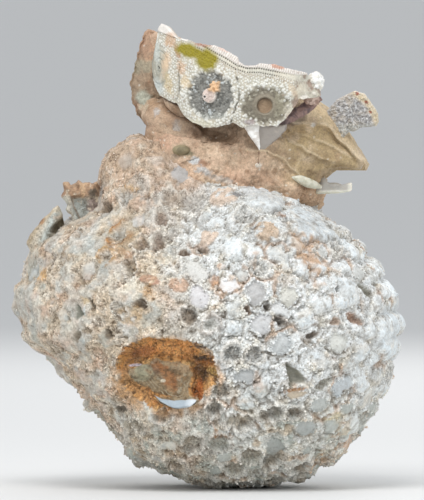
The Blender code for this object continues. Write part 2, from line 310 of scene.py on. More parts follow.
def piece(name, points, faces, node, colours, masks=None, stands_for=True):
    """A closed mesh from arrays in mm, turned outward, that rides on the one body. Its colours and masks go
    in as point attributes. Unless told otherwise, it stands for that CAD node, which it hides."""
    mesh = bpy.data.meshes.new(name)
    faces = [face for group in faces for face in np.asarray(group).tolist()]
    points = np.asarray(points)
    fan = np.array([face[:3] for face in faces] + [[f[0], f[2], f[3]] for f in faces if len(f) == 4])
    a, b, c = (points[fan[:, corner]] for corner in range(3))
    if (np.cross(a, b) * c).sum() < 0:
        faces = [face[::-1] for face in faces]
    mesh.from_pydata((points * 0.001).tolist(), [], faces)
    tint = mesh.attributes.new("tint", "FLOAT_COLOR", "POINT")
    solid = np.hstack([np.clip(colours, 0.01, 0.95), np.ones((len(points), 1))])
    tint.data.foreach_set("color", solid.ravel())
    for label, values in (masks or {}).items():
        mask = mesh.attributes.new(label, "FLOAT", "POINT")
        mask.data.foreach_set("value", np.clip(values, 0, 1).astype(float))
    mesh.polygons.foreach_set("use_smooth", np.ones(len(mesh.polygons), bool))
    mesh.update()
    made = bpy.data.objects.new(name, mesh)
    bpy.context.scene.collection.objects.link(made)
    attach(made, "root")
    if stands_for:
        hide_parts(node)
    return made


def plain(points, red, green, blue):
    """One screen colour at every point."""
    return np.broadcast_to(screen_colour(red, green, blue), points.shape)


def washed(colour, *washes):
    """The colours under washes laid one over the other. Each wash is how far it covers every point, from 0
    to 1, and its screen colour."""
    for share, screen in washes:
        colour = colour + np.asarray(share)[:, None] * (screen_colour(*screen) - colour)
    return colour


def stained(colour, points, marks, edge, ragged, seed, share=1.0):
    """The colours under a table of oval marks with that edge: x, z, half width and height, turn, strength,
    colour."""
    for *oval, strength, screen in marks:
        colour = washed(colour, (share * strength * spot(points, *oval, edge, ragged, seed), screen))
    return colour


PORE_SHADE = (0.36, 0.31, 0.25)  # what is left of the red, green and blue in a pore


def mineral(name, grain, spread, bump, rough, crumbly=0.0, gap_colour=(0.2, 0.16, 0.11), clear=0.0, sheen=0.5,
            pores=0.0):
    """Stone that takes its colour from the tint attribute. Grain is the size in mm of its finest grains,
    spread how far they differ in lightness, bump their height in mm, crumbly how strongly the gaps between
    them show in gap_colour, which is painted shade where that colour is dark, pores how dark the painted
    shade in the winding pores is, clear the share of light that passes under the surface, sheen how strongly
    it reflects. It is calmer where the attribute smooth is 1."""
    made = bpy.data.materials.new(name)
    made.use_nodes = True
    tree = made.node_tree
    shader = tree.nodes["Principled BSDF"]

    def node(kind, values=(), **settings):
        new = tree.nodes.new(kind)
        for key, value in settings.items():
            setattr(new, key, value)
        for key, value in dict(values).items():
            if isinstance(value, bpy.types.NodeSocket):
                tree.links.new(value, new.inputs[key])
            else:
                new.inputs[key].default_value = value
        return new

    def maths(way, first, second, third=0.0):
        return node("ShaderNodeMath", {0: first, 1: second, 2: third}, operation=way).outputs[0]

    def span(value, low, high, start, end):
        return node("ShaderNodeMapRange", {0: value, 1: low, 2: high, 3: start, 4: end}).outputs[0]

    def mix(share, first, second, way="MIX"):
        made = node("ShaderNodeMix", {0: share, 6: first, 7: second}, data_type="RGBA", blend_type=way)
        return made.outputs[2]

    def mottle(size, detail):
        values = {"Vector": place, "Scale": 1000 / size, "Detail": detail, "Roughness": 0.65}
        return node("ShaderNodeTexNoise", values).outputs["Fac"]

    place = node("ShaderNodeTexCoord").outputs["Object"]
    tint = node("ShaderNodeAttribute", attribute_name="tint").outputs["Color"]
    smooth = node("ShaderNodeAttribute", attribute_name="smooth").outputs["Fac"]
    bent = node("ShaderNodeVectorMath", {0: place, 1: node("ShaderNodeVectorMath", {
        0: node("ShaderNodeTexNoise", {"Vector": place, "Scale": 1000 / (2 * grain)}).outputs["Color"],
        "Scale": grain * 0.001}, operation="SCALE").outputs[0]}, operation="ADD").outputs[0]
    crumb = node("ShaderNodeTexVoronoi", {"Vector": bent, "Scale": 1000 / (1.5 * grain)})
    own = node("ShaderNodeSeparateColor", {0: crumb.outputs["Color"]}).outputs[0]
    calm = maths("MULTIPLY_ADD", smooth, -0.85, 1.0)
    level = span(mottle(grain, 3), 0.3, 0.7, -spread, spread)
    level = maths("ADD", level, span(own, 0, 1, -crumbly / 3, crumbly / 3))
    level = maths("MULTIPLY_ADD", level, calm, 1.0)
    grey = node("ShaderNodeCombineColor", {0: level, 1: level, 2: level}).outputs[0]
    colour = mix(1.0, tint, grey, "MULTIPLY")
    height = mottle(1.3 * grain, 4)
    if crumbly:
        # The gaps between crumbs take gap_colour: painted shade when it is dark, as it is by default.
        gap = maths("MULTIPLY", span(crumb.outputs["Distance"], 0.5, 0.85, 0.0, crumbly), calm)
        colour = mix(gap, colour, (*gap_colour, 1.0))
        height = maths("ADD", height, span(crumb.outputs["Distance"], 0.0, 0.9, crumbly, 0.0))
    if pores:
        # Painted shade in the winding pores: their colour is multiplied down by PORE_SHADE where the bump
        # sinks.
        winding = maths("ABSOLUTE", maths("SUBTRACT", mottle(2.2 * grain, 2), 0.5), 0.0)
        stroke = maths("MULTIPLY", span(winding, 0.02, 0.06, 1.0, 0.0),
                       span(mottle(5 * grain, 2), 0.5, 0.58, 0.0, 1.0))
        pore = maths("MAXIMUM", stroke, span(winding, 0.09, 0.18, 0.0, 0.55))
        pore = maths("MULTIPLY", maths("MULTIPLY", pore, calm), pores)
        colour = mix(pore, colour, mix(1.0, colour, (*PORE_SHADE, 1.0), "MULTIPLY"))
        height = maths("SUBTRACT", height, maths("MULTIPLY", pore, 0.7))
    tree.links.new(colour, shader.inputs["Base Color"])
    dull = span(smooth, 0.5, 1, rough, 0.45)
    tree.links.new(maths("MULTIPLY_ADD", span(mottle(2.5 * grain, 2), 0.3, 0.7, -0.5, 0.5), 0.16, dull),
                   shader.inputs["Roughness"])
    shader.inputs["Specular IOR Level"].default_value = sheen
    if clear:
        shader.inputs["Subsurface Weight"].default_value = clear
        shader.inputs["Subsurface Radius"].default_value = (1.0, 0.8, 0.6)
        shader.inputs["Subsurface Scale"].default_value = 0.0015
    relief = node("ShaderNodeBump", {"Strength": calm, "Distance": bump * 0.001, "Height": height})
    tree.links.new(relief.outputs[0], shader.inputs["Normal"])
    return made


CRUST, PAD, CUP, RING, PIT, CRUMB, DOME, SLOT = range(8)  # kinds of corallite, and what else sits on the head
# What stands out on the coral's front, by kind: x, z, half width and height, turn in degrees
# (anticlockwise, seen from the front), how deep or proud it is, and its colour.
FEATURES = {
    PAD: ((-3.8, 66.7, 2.7, 4.3, 35, 0.9, (208, 208, 204)),
     (-3.2, 58.6, 3.1, 3.9, 30, 0.8, (206, 205, 212)), (5.9, 62.2, 3.9, 1.9, 10, 0.9, (236, 238, 243)),
     (14, 60.1, 3.2, 3.2, 0, 0.4, (186, 186, 188)), (24.2, 59, 3, 2.7, 0, 0.6, (214, 214, 204)),
     (15.8, 51, 3.5, 3.4, 20, 0.7, (204, 206, 210)), (21.5, 54.6, 3.4, 2.3, -25, 1.2, (214, 218, 220)),
     (40, 31.4, 3.1, 2.4, 20, 0.7, (192, 203, 211)), (9.9, 35.1, 3.2, 2.8, 0, 0.6, (178, 184, 187)),
     (22, 44.7, 3.2, 3.2, 0, 0.4, (192, 199, 203)), (38.9, 44.4, 3.2, 2.8, 15, 0.7, (216, 219, 213)),
     (28.7, 19, 3.1, 2.5, 0, 0.6, (174, 182, 181)), (20, 12.9, 3.2, 2.4, 0, 0.6, (164, 171, 168)),
     (32.9, 26.1, 2.9, 2.5, 10, 0.7, (186, 193, 191)), (-37.2, 66.7, 1.9, 3.3, -15, 0.4, (188, 200, 206)),
     (-4, 99, 2, 1.4, 0, 0.8, (206, 206, 200)), (-54, 64.6, 1.8, 2.1, 0, 0.5, (200, 210, 218)),
     (-21.2, 80.2, 2.0, 1.5, 20, 0.3, (196, 204, 216)), (26, 29.6, 3.3, 1.3, 12, 0.9, (206, 184, 150)),
     (-25.3, 98.5, 2.6, 1.7, 10, 0.3, (172, 170, 166)), (-8, 95, 3.2, 1.8, 10, 0.3, (180, 180, 182)),
     (8.2, 89.4, 1.5, 1.7, 20, 0.8, (134, 132, 134)), (4.2, 92.6, 3.0, 1.1, -32, 0.9, (208, 210, 212)),
     (-1.2, 94.6, 3.2, 1.2, -14, 0.8, (188, 190, 192))),
    DOME: ((53, 47.1, 3.6, 3.4, 0, 1.0, (222, 229, 233)), (41.2, 60, 3.6, 3.2, 0, 1.0, (212, 220, 225)),
     (31, 80.5, 3.8, 3.2, 0, 1.0, (214, 222, 228)), (54.5, 56, 3.6, 3.2, 0, 1.0, (214, 219, 220)),
     (15.3, 88.4, 3.8, 3.2, 0, 1.3, (226, 232, 238))),
    CUP: ((7, 41.5, 2.8, 2.8, 0, 1.9, (172, 172, 166)), (14, 41.5, 2.7, 2.7, 0, 1.9, (176, 174, 168)),
     (3.5, 30.1, 3.0, 2.0, 0, 2.2, (150, 138, 114)), (0.9, 24.9, 2.4, 2.3, 0, 1.9, (140, 132, 118)),
     (18.7, 23.7, 3.9, 2.1, 0, 2.5, (116, 108, 92)), (25.8, 23.9, 2.7, 1.9, 0, 2.5, (118, 98, 66)),
     (9.2, 21, 3.9, 2.6, 0, 1.7, (176, 160, 132)), (-5.2, 14.2, 3.3, 2.8, 0, 1.5, (172, 164, 148)),
     (3.2, 14.2, 3.4, 2.5, 0, 1.5, (164, 162, 148)), (12.8, 10.2, 3.1, 2.4, 0, 2.0, (158, 144, 118)),
     (19, 8.9, 3.1, 2.5, 0, 2.0, (124, 124, 114)), (7.7, 5.9, 3.0, 2.0, 0, 1.9, (150, 138, 112)),
     (-9.8, 7.7, 2.7, 2.0, 0, 1.6, (168, 160, 136)), (27, 7, 2.7, 1.8, 20, 2.2, (96, 84, 60)),
     (-5.3, 86.7, 4.0, 3.7, 0, 1.6, (184, 182, 176)), (-11.6, 87.6, 2.6, 2.9, 0, 1.6, (176, 160, 142)),
     (-14.1, 81.4, 2.3, 2.3, 0, 2.2, (158, 130, 110)), (-15.8, 74, 2.6, 2.9, 0, 2.4, (136, 108, 86)),
     (-20.9, 74, 2.4, 2.2, 0, 2.3, (142, 116, 96)), (-11, 77, 1.7, 1.7, 0, 1.6, (176, 168, 160)),
     (-23.9, 67.3, 1.9, 2.8, -12, 2.4, (140, 126, 102)), (-24.8, 87.7, 2.5, 2.8, 0, 1.3, (178, 188, 190)),
     (-5.9, 52.9, 2.5, 2.5, 0, 1.9, (128, 104, 74))),
    SLOT: ((25.2, 35.0, 2.7, 4.0, 23, 2.4, (150, 150, 134)),
     (-38.6, 54.3, 2.2, 2.3, 20, 1.4, (132, 138, 124))),
    PIT: ((-30.3, 47.9, 0.6, 2.1, 20, 2.2, (84, 68, 50)),
     (-39.4, 46.4, 1.1, 2.1, -20, 1.4, (142, 132, 112)), (-35.2, 56.4, 0.4, 1.8, 39, 1.6, (90, 76, 56)),
     (-31.4, 84.4, 1.7, 1.5, 0, 2.4, (94, 74, 52)), (34, 32.7, 2.5, 1.4, 30, 1.4, (160, 158, 142)),
     (46.7, 59.7, 2.5, 1.5, -30, 2.0, (122, 118, 88)), (38.3, 60.4, 0.8, 1.4, -25, 2.4, (52, 46, 40)),
     (31, 47.2, 1.8, 1.0, 0, 2.0, (112, 88, 62)), (37.4, 51, 1.8, 1.7, 0, 1.4, (176, 134, 92)),
     (43.7, 51.7, 2.5, 1.5, -35, 1.9, (176, 116, 62)), (-20.6, 56.6, 2.7, 1.4, 0, 2.2, (106, 80, 54)),
     (-27, 24.3, 1.4, 1.3, 0, 1.9, (88, 78, 58)), (-7.7, 71.3, 1.8, 0.9, 10, 2.0, (134, 98, 62)),
     (-2.4, 72.6, 1.8, 0.9, -10, 1.9, (136, 104, 70)), (17.6, 55.9, 1.1, 1.7, 30, 2.6, (92, 74, 52)),
     (21.0, 51.4, 3.0, 0.9, -28, 2.6, (84, 70, 54)), (11.6, 55.4, 1.0, 1.8, 35, 2.2, (150, 112, 72))),
    RING: ((-26.6, 76.8, 2.9, 3.3, -20, 1.6, (180, 122, 60)),
     (-31.4, 71, 2.3, 2.5, 0, 1.2, (196, 150, 84)), (0.4, 50.5, 3.3, 2.8, 15, 1.5, (196, 192, 188))),
    CRUMB: ((-9.2, 62.7, 2.5, 2.4, 0, 0.5, (222, 165, 116)),
     (17.2, 77.7, 3.3, 2.9, 0, 0.8, (236, 190, 134)), (21.7, 82.3, 1.1, 1.0, 0, 0.6, (198, 138, 80)),
     (4.6, 88.4, 3.9, 2.7, -38, 0.8, (246, 206, 168)), (-17.5, 63.5, 3.2, 1.3, -22, 0.6, (214, 138, 88)),
     (-26, 71.7, 1.5, 2.2, 35, 0.6, (200, 140, 72)), (-0.2, 75.8, 2.7, 1.9, 20, 0.6, (242, 202, 164)),
     (1.3, 63.3, 1.6, 1.4, 0, 0.6, (196, 140, 96)), (-5.1, 92.3, 3.3, 1.2, 5, 0.8, (234, 190, 150)),
     (-21.6, 85.7, 2.3, 2.3, 0, 0.6, (234, 190, 152)), (3.2, 67.4, 1.3, 1.2, 0, 0.5, (226, 180, 138)),
     (-26, 10, 3.6, 1.7, 15, 0.9, (222, 210, 196))),
}
MOST_STRETCH = 1.7  # how many times longer these are at most where the surface leans away
# The others, between them. By kind: half width, depth, colour; low down, how many times wider, higher and
# deeper.
OTHERS_TRIED = 650
RIGHT_FROM, LOW_UNDER = -6, 26  # x and z where the right part and the low part begin
OTHER_SIZES = {PAD: (2.3, 0.5, (206, 209, 207)), CUP: (2.8, 1.1, (206, 206, 201)),
               PIT: (0.9, 1.2, (176, 158, 132)), DOME: (2.8, 1.0, (224, 229, 230)),
               CRUST: (2.8, 1.0, (0, 0, 0))}
LOW_SIZES = {PAD: (1.2, 1.15, 1.5, (186, 194, 189)), CUP: (1.0, 1.0, 1.8, (182, 174, 154))}
OTHER_KINDS = (PAD, CUP, PIT, DOME, CRUST)
# How large a share of them the first kind is, the first two are, and so on, by (right, low).
OTHER_SHARES = {(True, False): (0.10, 0.26, 0.30, 0.50), (False, False): (0.04, 0.12, 0.18, 0.30),
                (True, True): (0.44, 0.72, 0.76, 0.84), (False, True): (0.22, 0.46, 0.52, 0.56)}
# Rust and other stains: x, z, half width and height, turn, strength, colour.
STAINS = (
    (30.8, 69.4, 3, 7.6, 24, 0.8, (204, 160, 118)), (33, 8.6, 4.2, 1.5, 30, 0.7, (210, 168, 124)),
    (41, 14.4, 2, 1.3, 42, 0.75, (206, 154, 108)), (37.6, 22.2, 2.8, 1.7, 30, 0.6, (214, 194, 140)),
    (-14.2, 22.6, 2.6, 1.8, 20, 0.45, (198, 150, 112)), (1, 19.6, 0.7, 3.6, 30, 0.6, (196, 140, 92)),
    (-18, 59.9, 1.7, 2.7, -10, 0.7, (204, 158, 100)), (-24, 53.8, 3.2, 2.6, 0, 0.6, (206, 166, 108)),
    (-50.4, 64.8, 1.6, 1.8, 0, 0.8, (222, 172, 104)), (5.9, 62.2, 5, 2.9, 10, 0.7, (214, 168, 126)),
    (3.4, 16.4, 3, 0.9, 0, 0.8, (204, 152, 104)), (-24.8, 90.4, 2.8, 0.8, 15, 0.8, (222, 178, 122)),
    (-49, 54, 2, 2, 0, 0.5, (224, 176, 146)), (23, 64, 3.4, 2.4, 0, 0.35, (222, 196, 164)),
    (27, 74, 2.2, 3, 20, 0.5, (214, 172, 126)), (12, 69, 1.6, 3.2, -35, 0.6, (196, 160, 128)),
    (-17, 68, 5, 4, 0, 0.25, (214, 186, 140)), (-27, 78, 6, 7, 0, 0.3, (214, 188, 146)),
    (7.2, 28, 4.5, 2.2, 0, 0.5, (226, 206, 184)), (14, 33.6, 2, 2.6, 30, 0.4, (196, 152, 120)),
    (-23.8, 30.2, 5.2, 3, -38, 0.9, (204, 156, 104)), (-26.4, 36.6, 1.5, 4.4, 0, 0.7, (192, 152, 112)),
    (-36.9, 57.2, 1.1, 1.4, 20, 0.85, (206, 182, 142)),
    (-37.1, 54.3, 0.35, 1.3, -10, 0.95, (222, 232, 232)), (25.8, 30.9, 3.3, 0.6, 12, 0.95, (180, 132, 84)),
    (-47, 69.5, 4, 2, 10, 0.6, (172, 166, 160)),
)
# Rust in the pocket, in the same way. The two darkest marks, on the right, are painted shade in its hollows;
# the first mark is golden rust made lighter as painted light along the pocket's shaded top.
POCKET_STAINS_AND_PAINTED_SHADING = (
    (-14, 43, 11, 3, 2, 0.85, (226, 166, 100)), (-21.5, 41.6, 3.4, 1.6, 10, 0.6, (150, 88, 58)),
    (-22, 30.4, 5.4, 3, -30, 0.8, (206, 158, 104)), (-24.6, 36, 1.8, 3.6, 0, 0.6, (178, 146, 108)),
    (-1.8, 39.4, 3.2, 1.4, -6, 0.95, (66, 50, 34)), (-0.8, 43.4, 3.4, 1.8, -8, 0.9, (212, 196, 174)),
    (-2.2, 34.4, 1.8, 3, 10, 0.85, (92, 66, 36)), (0.9, 35.8, 1.7, 1.5, 30, 0.8, (162, 134, 70)),
    (-3.2, 29.2, 1.8, 2.4, 10, 0.85, (166, 92, 36)), (-1.2, 38, 2.2, 1.2, 0, 0.6, (188, 122, 62)),
    (-13, 25.4, 4, 1.2, -14, 0.6, (190, 128, 78)),
)
# Strips along the left foot where smooth grey silica is bare, in the same way.
BARE_STRIPS = (
    (-29.6, 17.4, 1.3, 5.2, 30, 0.9, (158, 154, 146)), (-25.2, 9.6, 1.3, 3.6, 48, 0.9, (150, 142, 132)),
    (-37.6, 25.4, 2.2, 1.6, 30, 0.9, (162, 160, 150)),
)
POCKET_CENTRE = np.array([-12.8, -41.2, 34.8])
POCKET_RADII = np.array([15.6, 6.4, 11.6])
POCKET_BOWL = 1.4  # how round its floor is: 2 is an ellipsoid, 1 a cone
POCKET_DEEPEST = 12.0


def surface_normals(places, centre, radius_towards):
    """Outward normals at points on a star-shaped surface round that centre, from differences 0.01 mm
    apart."""
    def beyond(spots):
        arm = spots - centre
        reach = np.linalg.norm(arm, axis=1)
        return reach - radius_towards(arm / reach[:, None])
    steps = 0.01 * np.eye(3)
    slope = np.stack([beyond(places + step) - beyond(places - step) for step in steps], axis=1)
    return slope / np.linalg.norm(slope, axis=1)[:, None]


def corallites():
    """All the places on the head, as arrays: the named ones, longer where the surface leans away from the
    front, then a golden-angle spiral of others between them."""
    rng = np.random.default_rng(21)
    features = [(kind, *feature) for kind, table in FEATURES.items() for feature in table]
    named = front_point([feature[1:3] for feature in features])
    lean = surface_normals(named, HEAD_CENTRE, head_radius)
    level = np.maximum(np.hypot(lean[:, 0], lean[:, 1]), 0.02)
    facing = np.maximum(np.abs(lean[:, 1]), 0.01)
    longer = np.clip(np.stack([level / facing, 1 / level], axis=1), 1, MOST_STRETCH)
    rows = [(kind, wide * more[0], high * more[1], turn, deep, *screen_colour(*screen))
            for (kind, _, _, wide, high, turn, deep, screen), more in zip(features, longer)]
    height = 1 - (2 * np.arange(OTHERS_TRIED) + 1) / OTHERS_TRIED
    round_angle = math.pi * (1 + math.sqrt(5)) * np.arange(OTHERS_TRIED)
    way = np.stack([np.sqrt(1 - height**2) * np.cos(round_angle), height,
                    np.sqrt(1 - height**2) * np.sin(round_angle)], axis=1)
    way += rng.normal(0, 0.026, way.shape)
    way /= np.linalg.norm(way, axis=1)[:, None]
    others = HEAD_CENTRE + head_radius(way)[:, None] * way
    apart = np.linalg.norm(others[:, None] - named[None], axis=2)
    size = np.array([math.sqrt(row[1] * row[2]) for row in rows])
    others = others[np.all(apart > size + 2.2, axis=1)]
    chance = rng.random(len(others))
    for (x, _, z), luck in zip(others, chance):
        low = bool(z < LOW_UNDER)
        kind = OTHER_KINDS[sum(luck > step for step in OTHER_SHARES[bool(x > RIGHT_FROM), low])]
        wide, deep, screen = OTHER_SIZES[kind]
        wide = wide * rng.uniform(0.75, 1.15)
        high = wide * rng.uniform(0.7, 1.0)
        deep = deep * rng.uniform(0.6, 1.3)
        if low and kind in LOW_SIZES:
            wider, higher, deeper, screen = LOW_SIZES[kind]
            wide, high, deep = wider * wide, higher * high, deeper * deep
        colour = screen_colour(*(np.array(screen) + rng.uniform(-12, 8)))
        rows.append((kind, wide, high, rng.uniform(-40, 40), deep, *colour))
    return np.concatenate([named, others]), np.array(rows)


def nearest_corallite(bent):
    """The corallite that each point belongs to, as named arrays: its kind, depth, own colour and a random
    value; how far the point is out from its middle, 1 on its outline (a slot's outline is a wedge), at
    which angle round it and how far to its low side; and how far the border with the next one is."""
    centres, rows = corallites()
    outward = surface_normals(centres, HEAD_CENTRE, head_radius)
    side = np.cross([0.0, 0.0, 1.0], outward) + [1e-6, 0, 0]
    side /= np.linalg.norm(side, axis=1)[:, None]
    upward = np.cross(outward, side)
    size = np.where(rows[:, 0] == CRUST, CORALLITE / 2, np.hypot(*rows[:, 1:3].T))
    first, wall, _ = nearest_two(bent, centres, size)
    kind, wide, high, turn, deep = (rows[first, column] for column in range(5))
    arm = bent - centres[first]
    c, s = np.cos(np.radians(turn)), np.sin(np.radians(turn))
    across, up = (arm * side[first]).sum(1), (arm * upward[first]).sum(1)
    a, b = (c * across + s * up) / wide, (c * up - s * across) / high
    wedge = np.maximum(np.abs(b), np.abs(a) / (0.56 - 0.44 * np.clip(b, -1, 1)))
    return SimpleNamespace(
        kind=kind, deep=deep, wall=wall, own=rows[first, 5:8],
        chance=np.modf(77.7 * deep + 3.1 * turn)[0] % 1,
        out=np.where(kind == SLOT, wedge, np.hypot(a, b)), around=np.arctan2(b, a),
        low_side=-up / np.sqrt(wide * high))


def head_zones(points):
    """Shares from 0 to 1 of the head's zones, with wavering borders: the pale right part, the low part, the
    ruddy crown and the brow under the rock, grey, ruddy and bluish mottling, and smooth silica on the left
    of the front."""
    x, y, z = points.T
    patch = rough_noise(points, 13, 3, 20)
    right = ramp(x + 9 * patch + 0.16 * (z - 52), -21, 2)
    mottled = rough_noise(points, 7, 4, 25)
    grey, bluish = ramp(mottled, 0.06, 0.22), patches(points, 8, 4, 50, 0.1, 0.22)
    return SimpleNamespace(
        right=right, left=1 - right, low=ramp(z + 8 * patch, 32, 14), grey=grey, bluish=bluish,
        ruddy=ramp(mottled, -0.1, -0.3), silica=np.maximum(grey, bluish) * (1 - right) * (y < 20),
        crown=ramp(z + 8 * patch, 78, 90) * ramp(x + 8 * patch, 4, -10),
        brow=ramp(z + 2 * noise(points, 4, 46) - 0.35 * (x + 20), 95, 99) * ramp(x, 0, -3))


def corallite_forms(points, place, zone):
    """The height of the corallites in mm, how smooth they are, and their parts as shares: a pad is a level
    disc that stands proud at its low side, over a moat; a cup is a bowl with septa round a small knob,
    inside a lip; a ring has broken arcs round a hole; domes and plain crust swell inside their borders,
    with a frill and a crease there."""
    kind, deep, out, low_side = place.kind, place.deep, place.out, place.low_side
    within = ramp(place.wall, 0.0, 0.4)
    rise = 1 - np.exp(-place.wall / 1.1)
    swelling = (kind == DOME) | (kind == CRUST)
    disc = ramp(out + 0.34 * rough_noise(points, 1.7, 3, 17), 1.02, 0.84)
    moat = hump(out - 1.14, 0.12) * ramp(low_side + 0.5 * noise(points, 3, 7), 0.1, 0.8) * (kind == PAD)
    fan = np.cos(np.round(13 + 5 * place.chance) * place.around)
    ribs = np.cos(22 * place.around) * ramp(out, 0.95, 1.2) * ramp(low_side, 0.1, 0.7) * zone.low
    ribs = ribs * ((kind == PAD) | (kind == CUP))
    bowl = -0.9 * deep * np.maximum(1 - out**2, 0) ** 0.6
    septa = 0.5 * fan * ramp(out, 0.2, 0.55) * ramp(out, 1.35, 0.95)
    arcs = hump(out - 0.95, 0.20) * ramp(noise(points, 3, 9) + 0.4 * noise(points, 1.1, 9), -0.5, 0.0)
    swell = zone.right * (1.7 * rise - 0.9 + 0.3 * low_side * rise + 0.06 * fan * rise)
    heights = {PAD: disc * (deep * (0.2 + 0.5 * low_side) - 0.5 * out**2 - 0.1) - 0.7 * moat,
               CUP: 0.8 * bowl + septa + 0.6 * hump(out - 1.2, 0.22) + 0.4 * ramp(out, 0.25, 0.0),
               RING: 0.9 * arcs - deep * ramp(out, 0.75, 0.1),
               PIT: -deep * ramp(out, 1.05, 0.35),
               CRUMB: deep * ramp(out, 1.15, 0.85),
               DOME: deep * swell,
               CRUST: deep * swell + zone.left * 0.4 * (1.3 * rise - 0.6),
               SLOT: -deep * ramp(out, 1.05, 0.5)}
    smoothness = {PAD: 0.85, CUP: 0.25, CRUMB: 0.4, SLOT: 0.8}
    return SimpleNamespace(
        height=sum((kind == one) * height for one, height in heights.items()),
        smooth=within * disc * sum((kind == one) * share for one, share in smoothness.items()),
        within=within, rise=rise, swelling=swelling, disc=disc, moat=moat, fan=fan, ribs=ribs, arcs=arcs,
        swollen=swelling * ramp(rise, 0.35, 0.8) * zone.right * within,
        lip=(kind == CUP) * hump(out - 1.15, 0.2) * within,
        frill=hump(place.wall, 0.8) * patches(points, 2.6, 1, 8, 0.0, 0.6),
        crease=hump(place.wall, 0.38) * zone.right * ramp(noise(points, 5.5, 6) + 0.5 * low_side, -0.2, 0.5))


def porous_crust(points, bent, warp, right):
    """The crust's height in mm, from coarse and small crumbs and two sizes of winding ridges, and where its
    pores, nicks and gaps are."""
    coarse, _, coarse_mark = grains(bent, 2.1, 1)
    small, small_next, small_mark = grains(points + 0.4 * warp, 1.05, 2)
    worm, thread = (1 - np.minimum(np.abs(rough_noise(points, size, 2, seed)) / 0.34, 1)
                    for size, seed in ((2.1, 13), (1.05, 42)))
    height = 0.4 * (0.55 - coarse) + 0.3 * (coarse_mark - 0.5)
    height = height + 0.25 * (0.55 - small) + 0.2 * (small_mark - 0.5)
    return SimpleNamespace(
        height=(height + 0.4 * (worm - 0.6) + 0.22 * (thread - 0.6)) * (0.52 + 0.2 * right),
        worm=worm, thread=thread, lightness=0.2 * (small_mark - 0.5) + 0.12 * (coarse_mark - 0.5),
        pore=patches(points, 1.5, 1, 10, 0.36, 0.72) * patches(points, 5, 1, 11, -0.5, 0.3),
        nick=patches(points, 1.0, 1, 43, 0.42, 0.66),
        gap=ramp(small_next - small, 0.25, 0.02) * patches(points, 2.2, 1, 26, -0.5, 0.4))


def pocket_shape(across, up):
    """The pocket's mouth at shares of its half width and height: under 1 inside a rounded oblong whose two
    right-hand corners are cut off; and how far it is set back, as a share of its depth, which grows to the
    left and downward."""
    left, right, down = np.maximum(-across, 0), np.maximum(across, 0), np.maximum(-up, 0)
    wide = np.abs(across) ** 3 + np.abs(up) ** 3 + 1.2 * right * down + 0.4 * right * np.maximum(up, 0)
    return wide, 0.5 * left + 0.3 * down


def pocket_floor(points, way, radius):
    """Which points lie in the pocket, a hollow with a rounded oblong mouth, and the radius of each, brought
    in to the pocket's wall by halving the stretch between the deepest it can be and the point."""
    waver = 1 + 0.07 * rough_noise(points, 7, 2, 5) + 0.09 * rough_noise(points, 2.4, 3, 6)
    edge = POCKET_RADII * waver[:, None]

    def within(spots, mouth):
        across, into, up = ((spots - POCKET_CENTRE) / mouth).T
        wide, set_back = pocket_shape(across, up)
        return wide + np.abs(into - set_back) ** POCKET_BOWL < 1

    hollow = within(points, edge)
    low, high = radius[hollow] - POCKET_DEEPEST, radius[hollow]
    for _ in range(24):
        middle = (low + high) / 2
        inside = within(HEAD_CENTRE + middle[:, None] * way[hollow], edge[hollow])
        low, high = np.where(inside, low, middle), np.where(inside, middle, high)
    radius = radius.copy()
    radius[hollow] = low
    return radius, hollow


def rust_colours(points):
    """The iron crust in the pocket: golden to dark brown in patches, with dark specks in the gaps of its
    crumbs."""
    rust_tone = rough_noise(points, 3.2, 4, 34)
    small, _, mark = grains(points, 0.8, 2)
    colour = washed(
        plain(points, 196, 142, 82),
        (ramp(rust_tone, 0.0, 0.3), (218, 174, 116)),
        (0.8 * ramp(rust_tone, -0.15, -0.4), (158, 112, 72)))
    # The pocket's marks: rust stains, with painted shade in its hollows and painted light along its top.
    colour = stained(colour, points, POCKET_STAINS_AND_PAINTED_SHADING, 0.5, 0.7, 36)
    return washed(
        colour * (1 + 0.45 * (mark - 0.5) + 0.3 * rough_noise(points, 1.5, 3, 39))[:, None],
        (0.6 * ramp(small, 0.55, 0.8) * patches(points, 2.4, 1, 37, -0.1, 0.4), (92, 62, 38)),
        (0.75 * patches(points, 0.9, 1, 38, 0.4, 0.66), (74, 52, 34)))


def corallite_colours(colour, points, place, zone, form):
    """The colours with each corallite's own one over them, as far as its kind shows it: a little greyed,
    warmer than the light, mottled, with painted shade down its low side, and a cup's septa painted lighter
    on their crests and shaded between them."""
    kind, out, own = place.kind, place.out, place.own
    paler = np.where(kind == CRUMB, 0.42, np.where(kind == RING, 0.0, 0.3))[:, None]
    own = own + paler * (own.mean(axis=1)[:, None] - own)
    # Random mottle, with painted shade down each corallite's low side.
    mottle_and_low_shade = 1 + 0.10 * rough_noise(points, 2.0, 3, 32) - 0.08 * place.low_side
    own = own * [1.0, 0.985, 0.955] * mottle_and_low_shade[:, None]
    # Painted light and shade on a cup's septa: lighter on their crests, darker between them.
    own = own * (1 + 0.36 * (kind == CUP) * form.fan * ramp(out, 0.1, 0.5))[:, None]
    shown = {PAD: 0.9 * form.disc * (0.45 + 0.55 * zone.right),
             CUP: 0.75 * ramp(out, 1.15, 0.6),
             RING: 0.95 * form.arcs,
             PIT: 0.8 * ramp(out, 1.2, 0.8),
             CRUMB: 0.85 * ramp(out, 1.2, 0.95) * patches(points, 1.6, 2, 18, -0.55, -0.15),
             DOME: 0.3 * form.disc,
             SLOT: form.disc}
    share = form.within * sum((kind == one) * much for one, much in shown.items())
    return colour + share[:, None] * (own - colour)


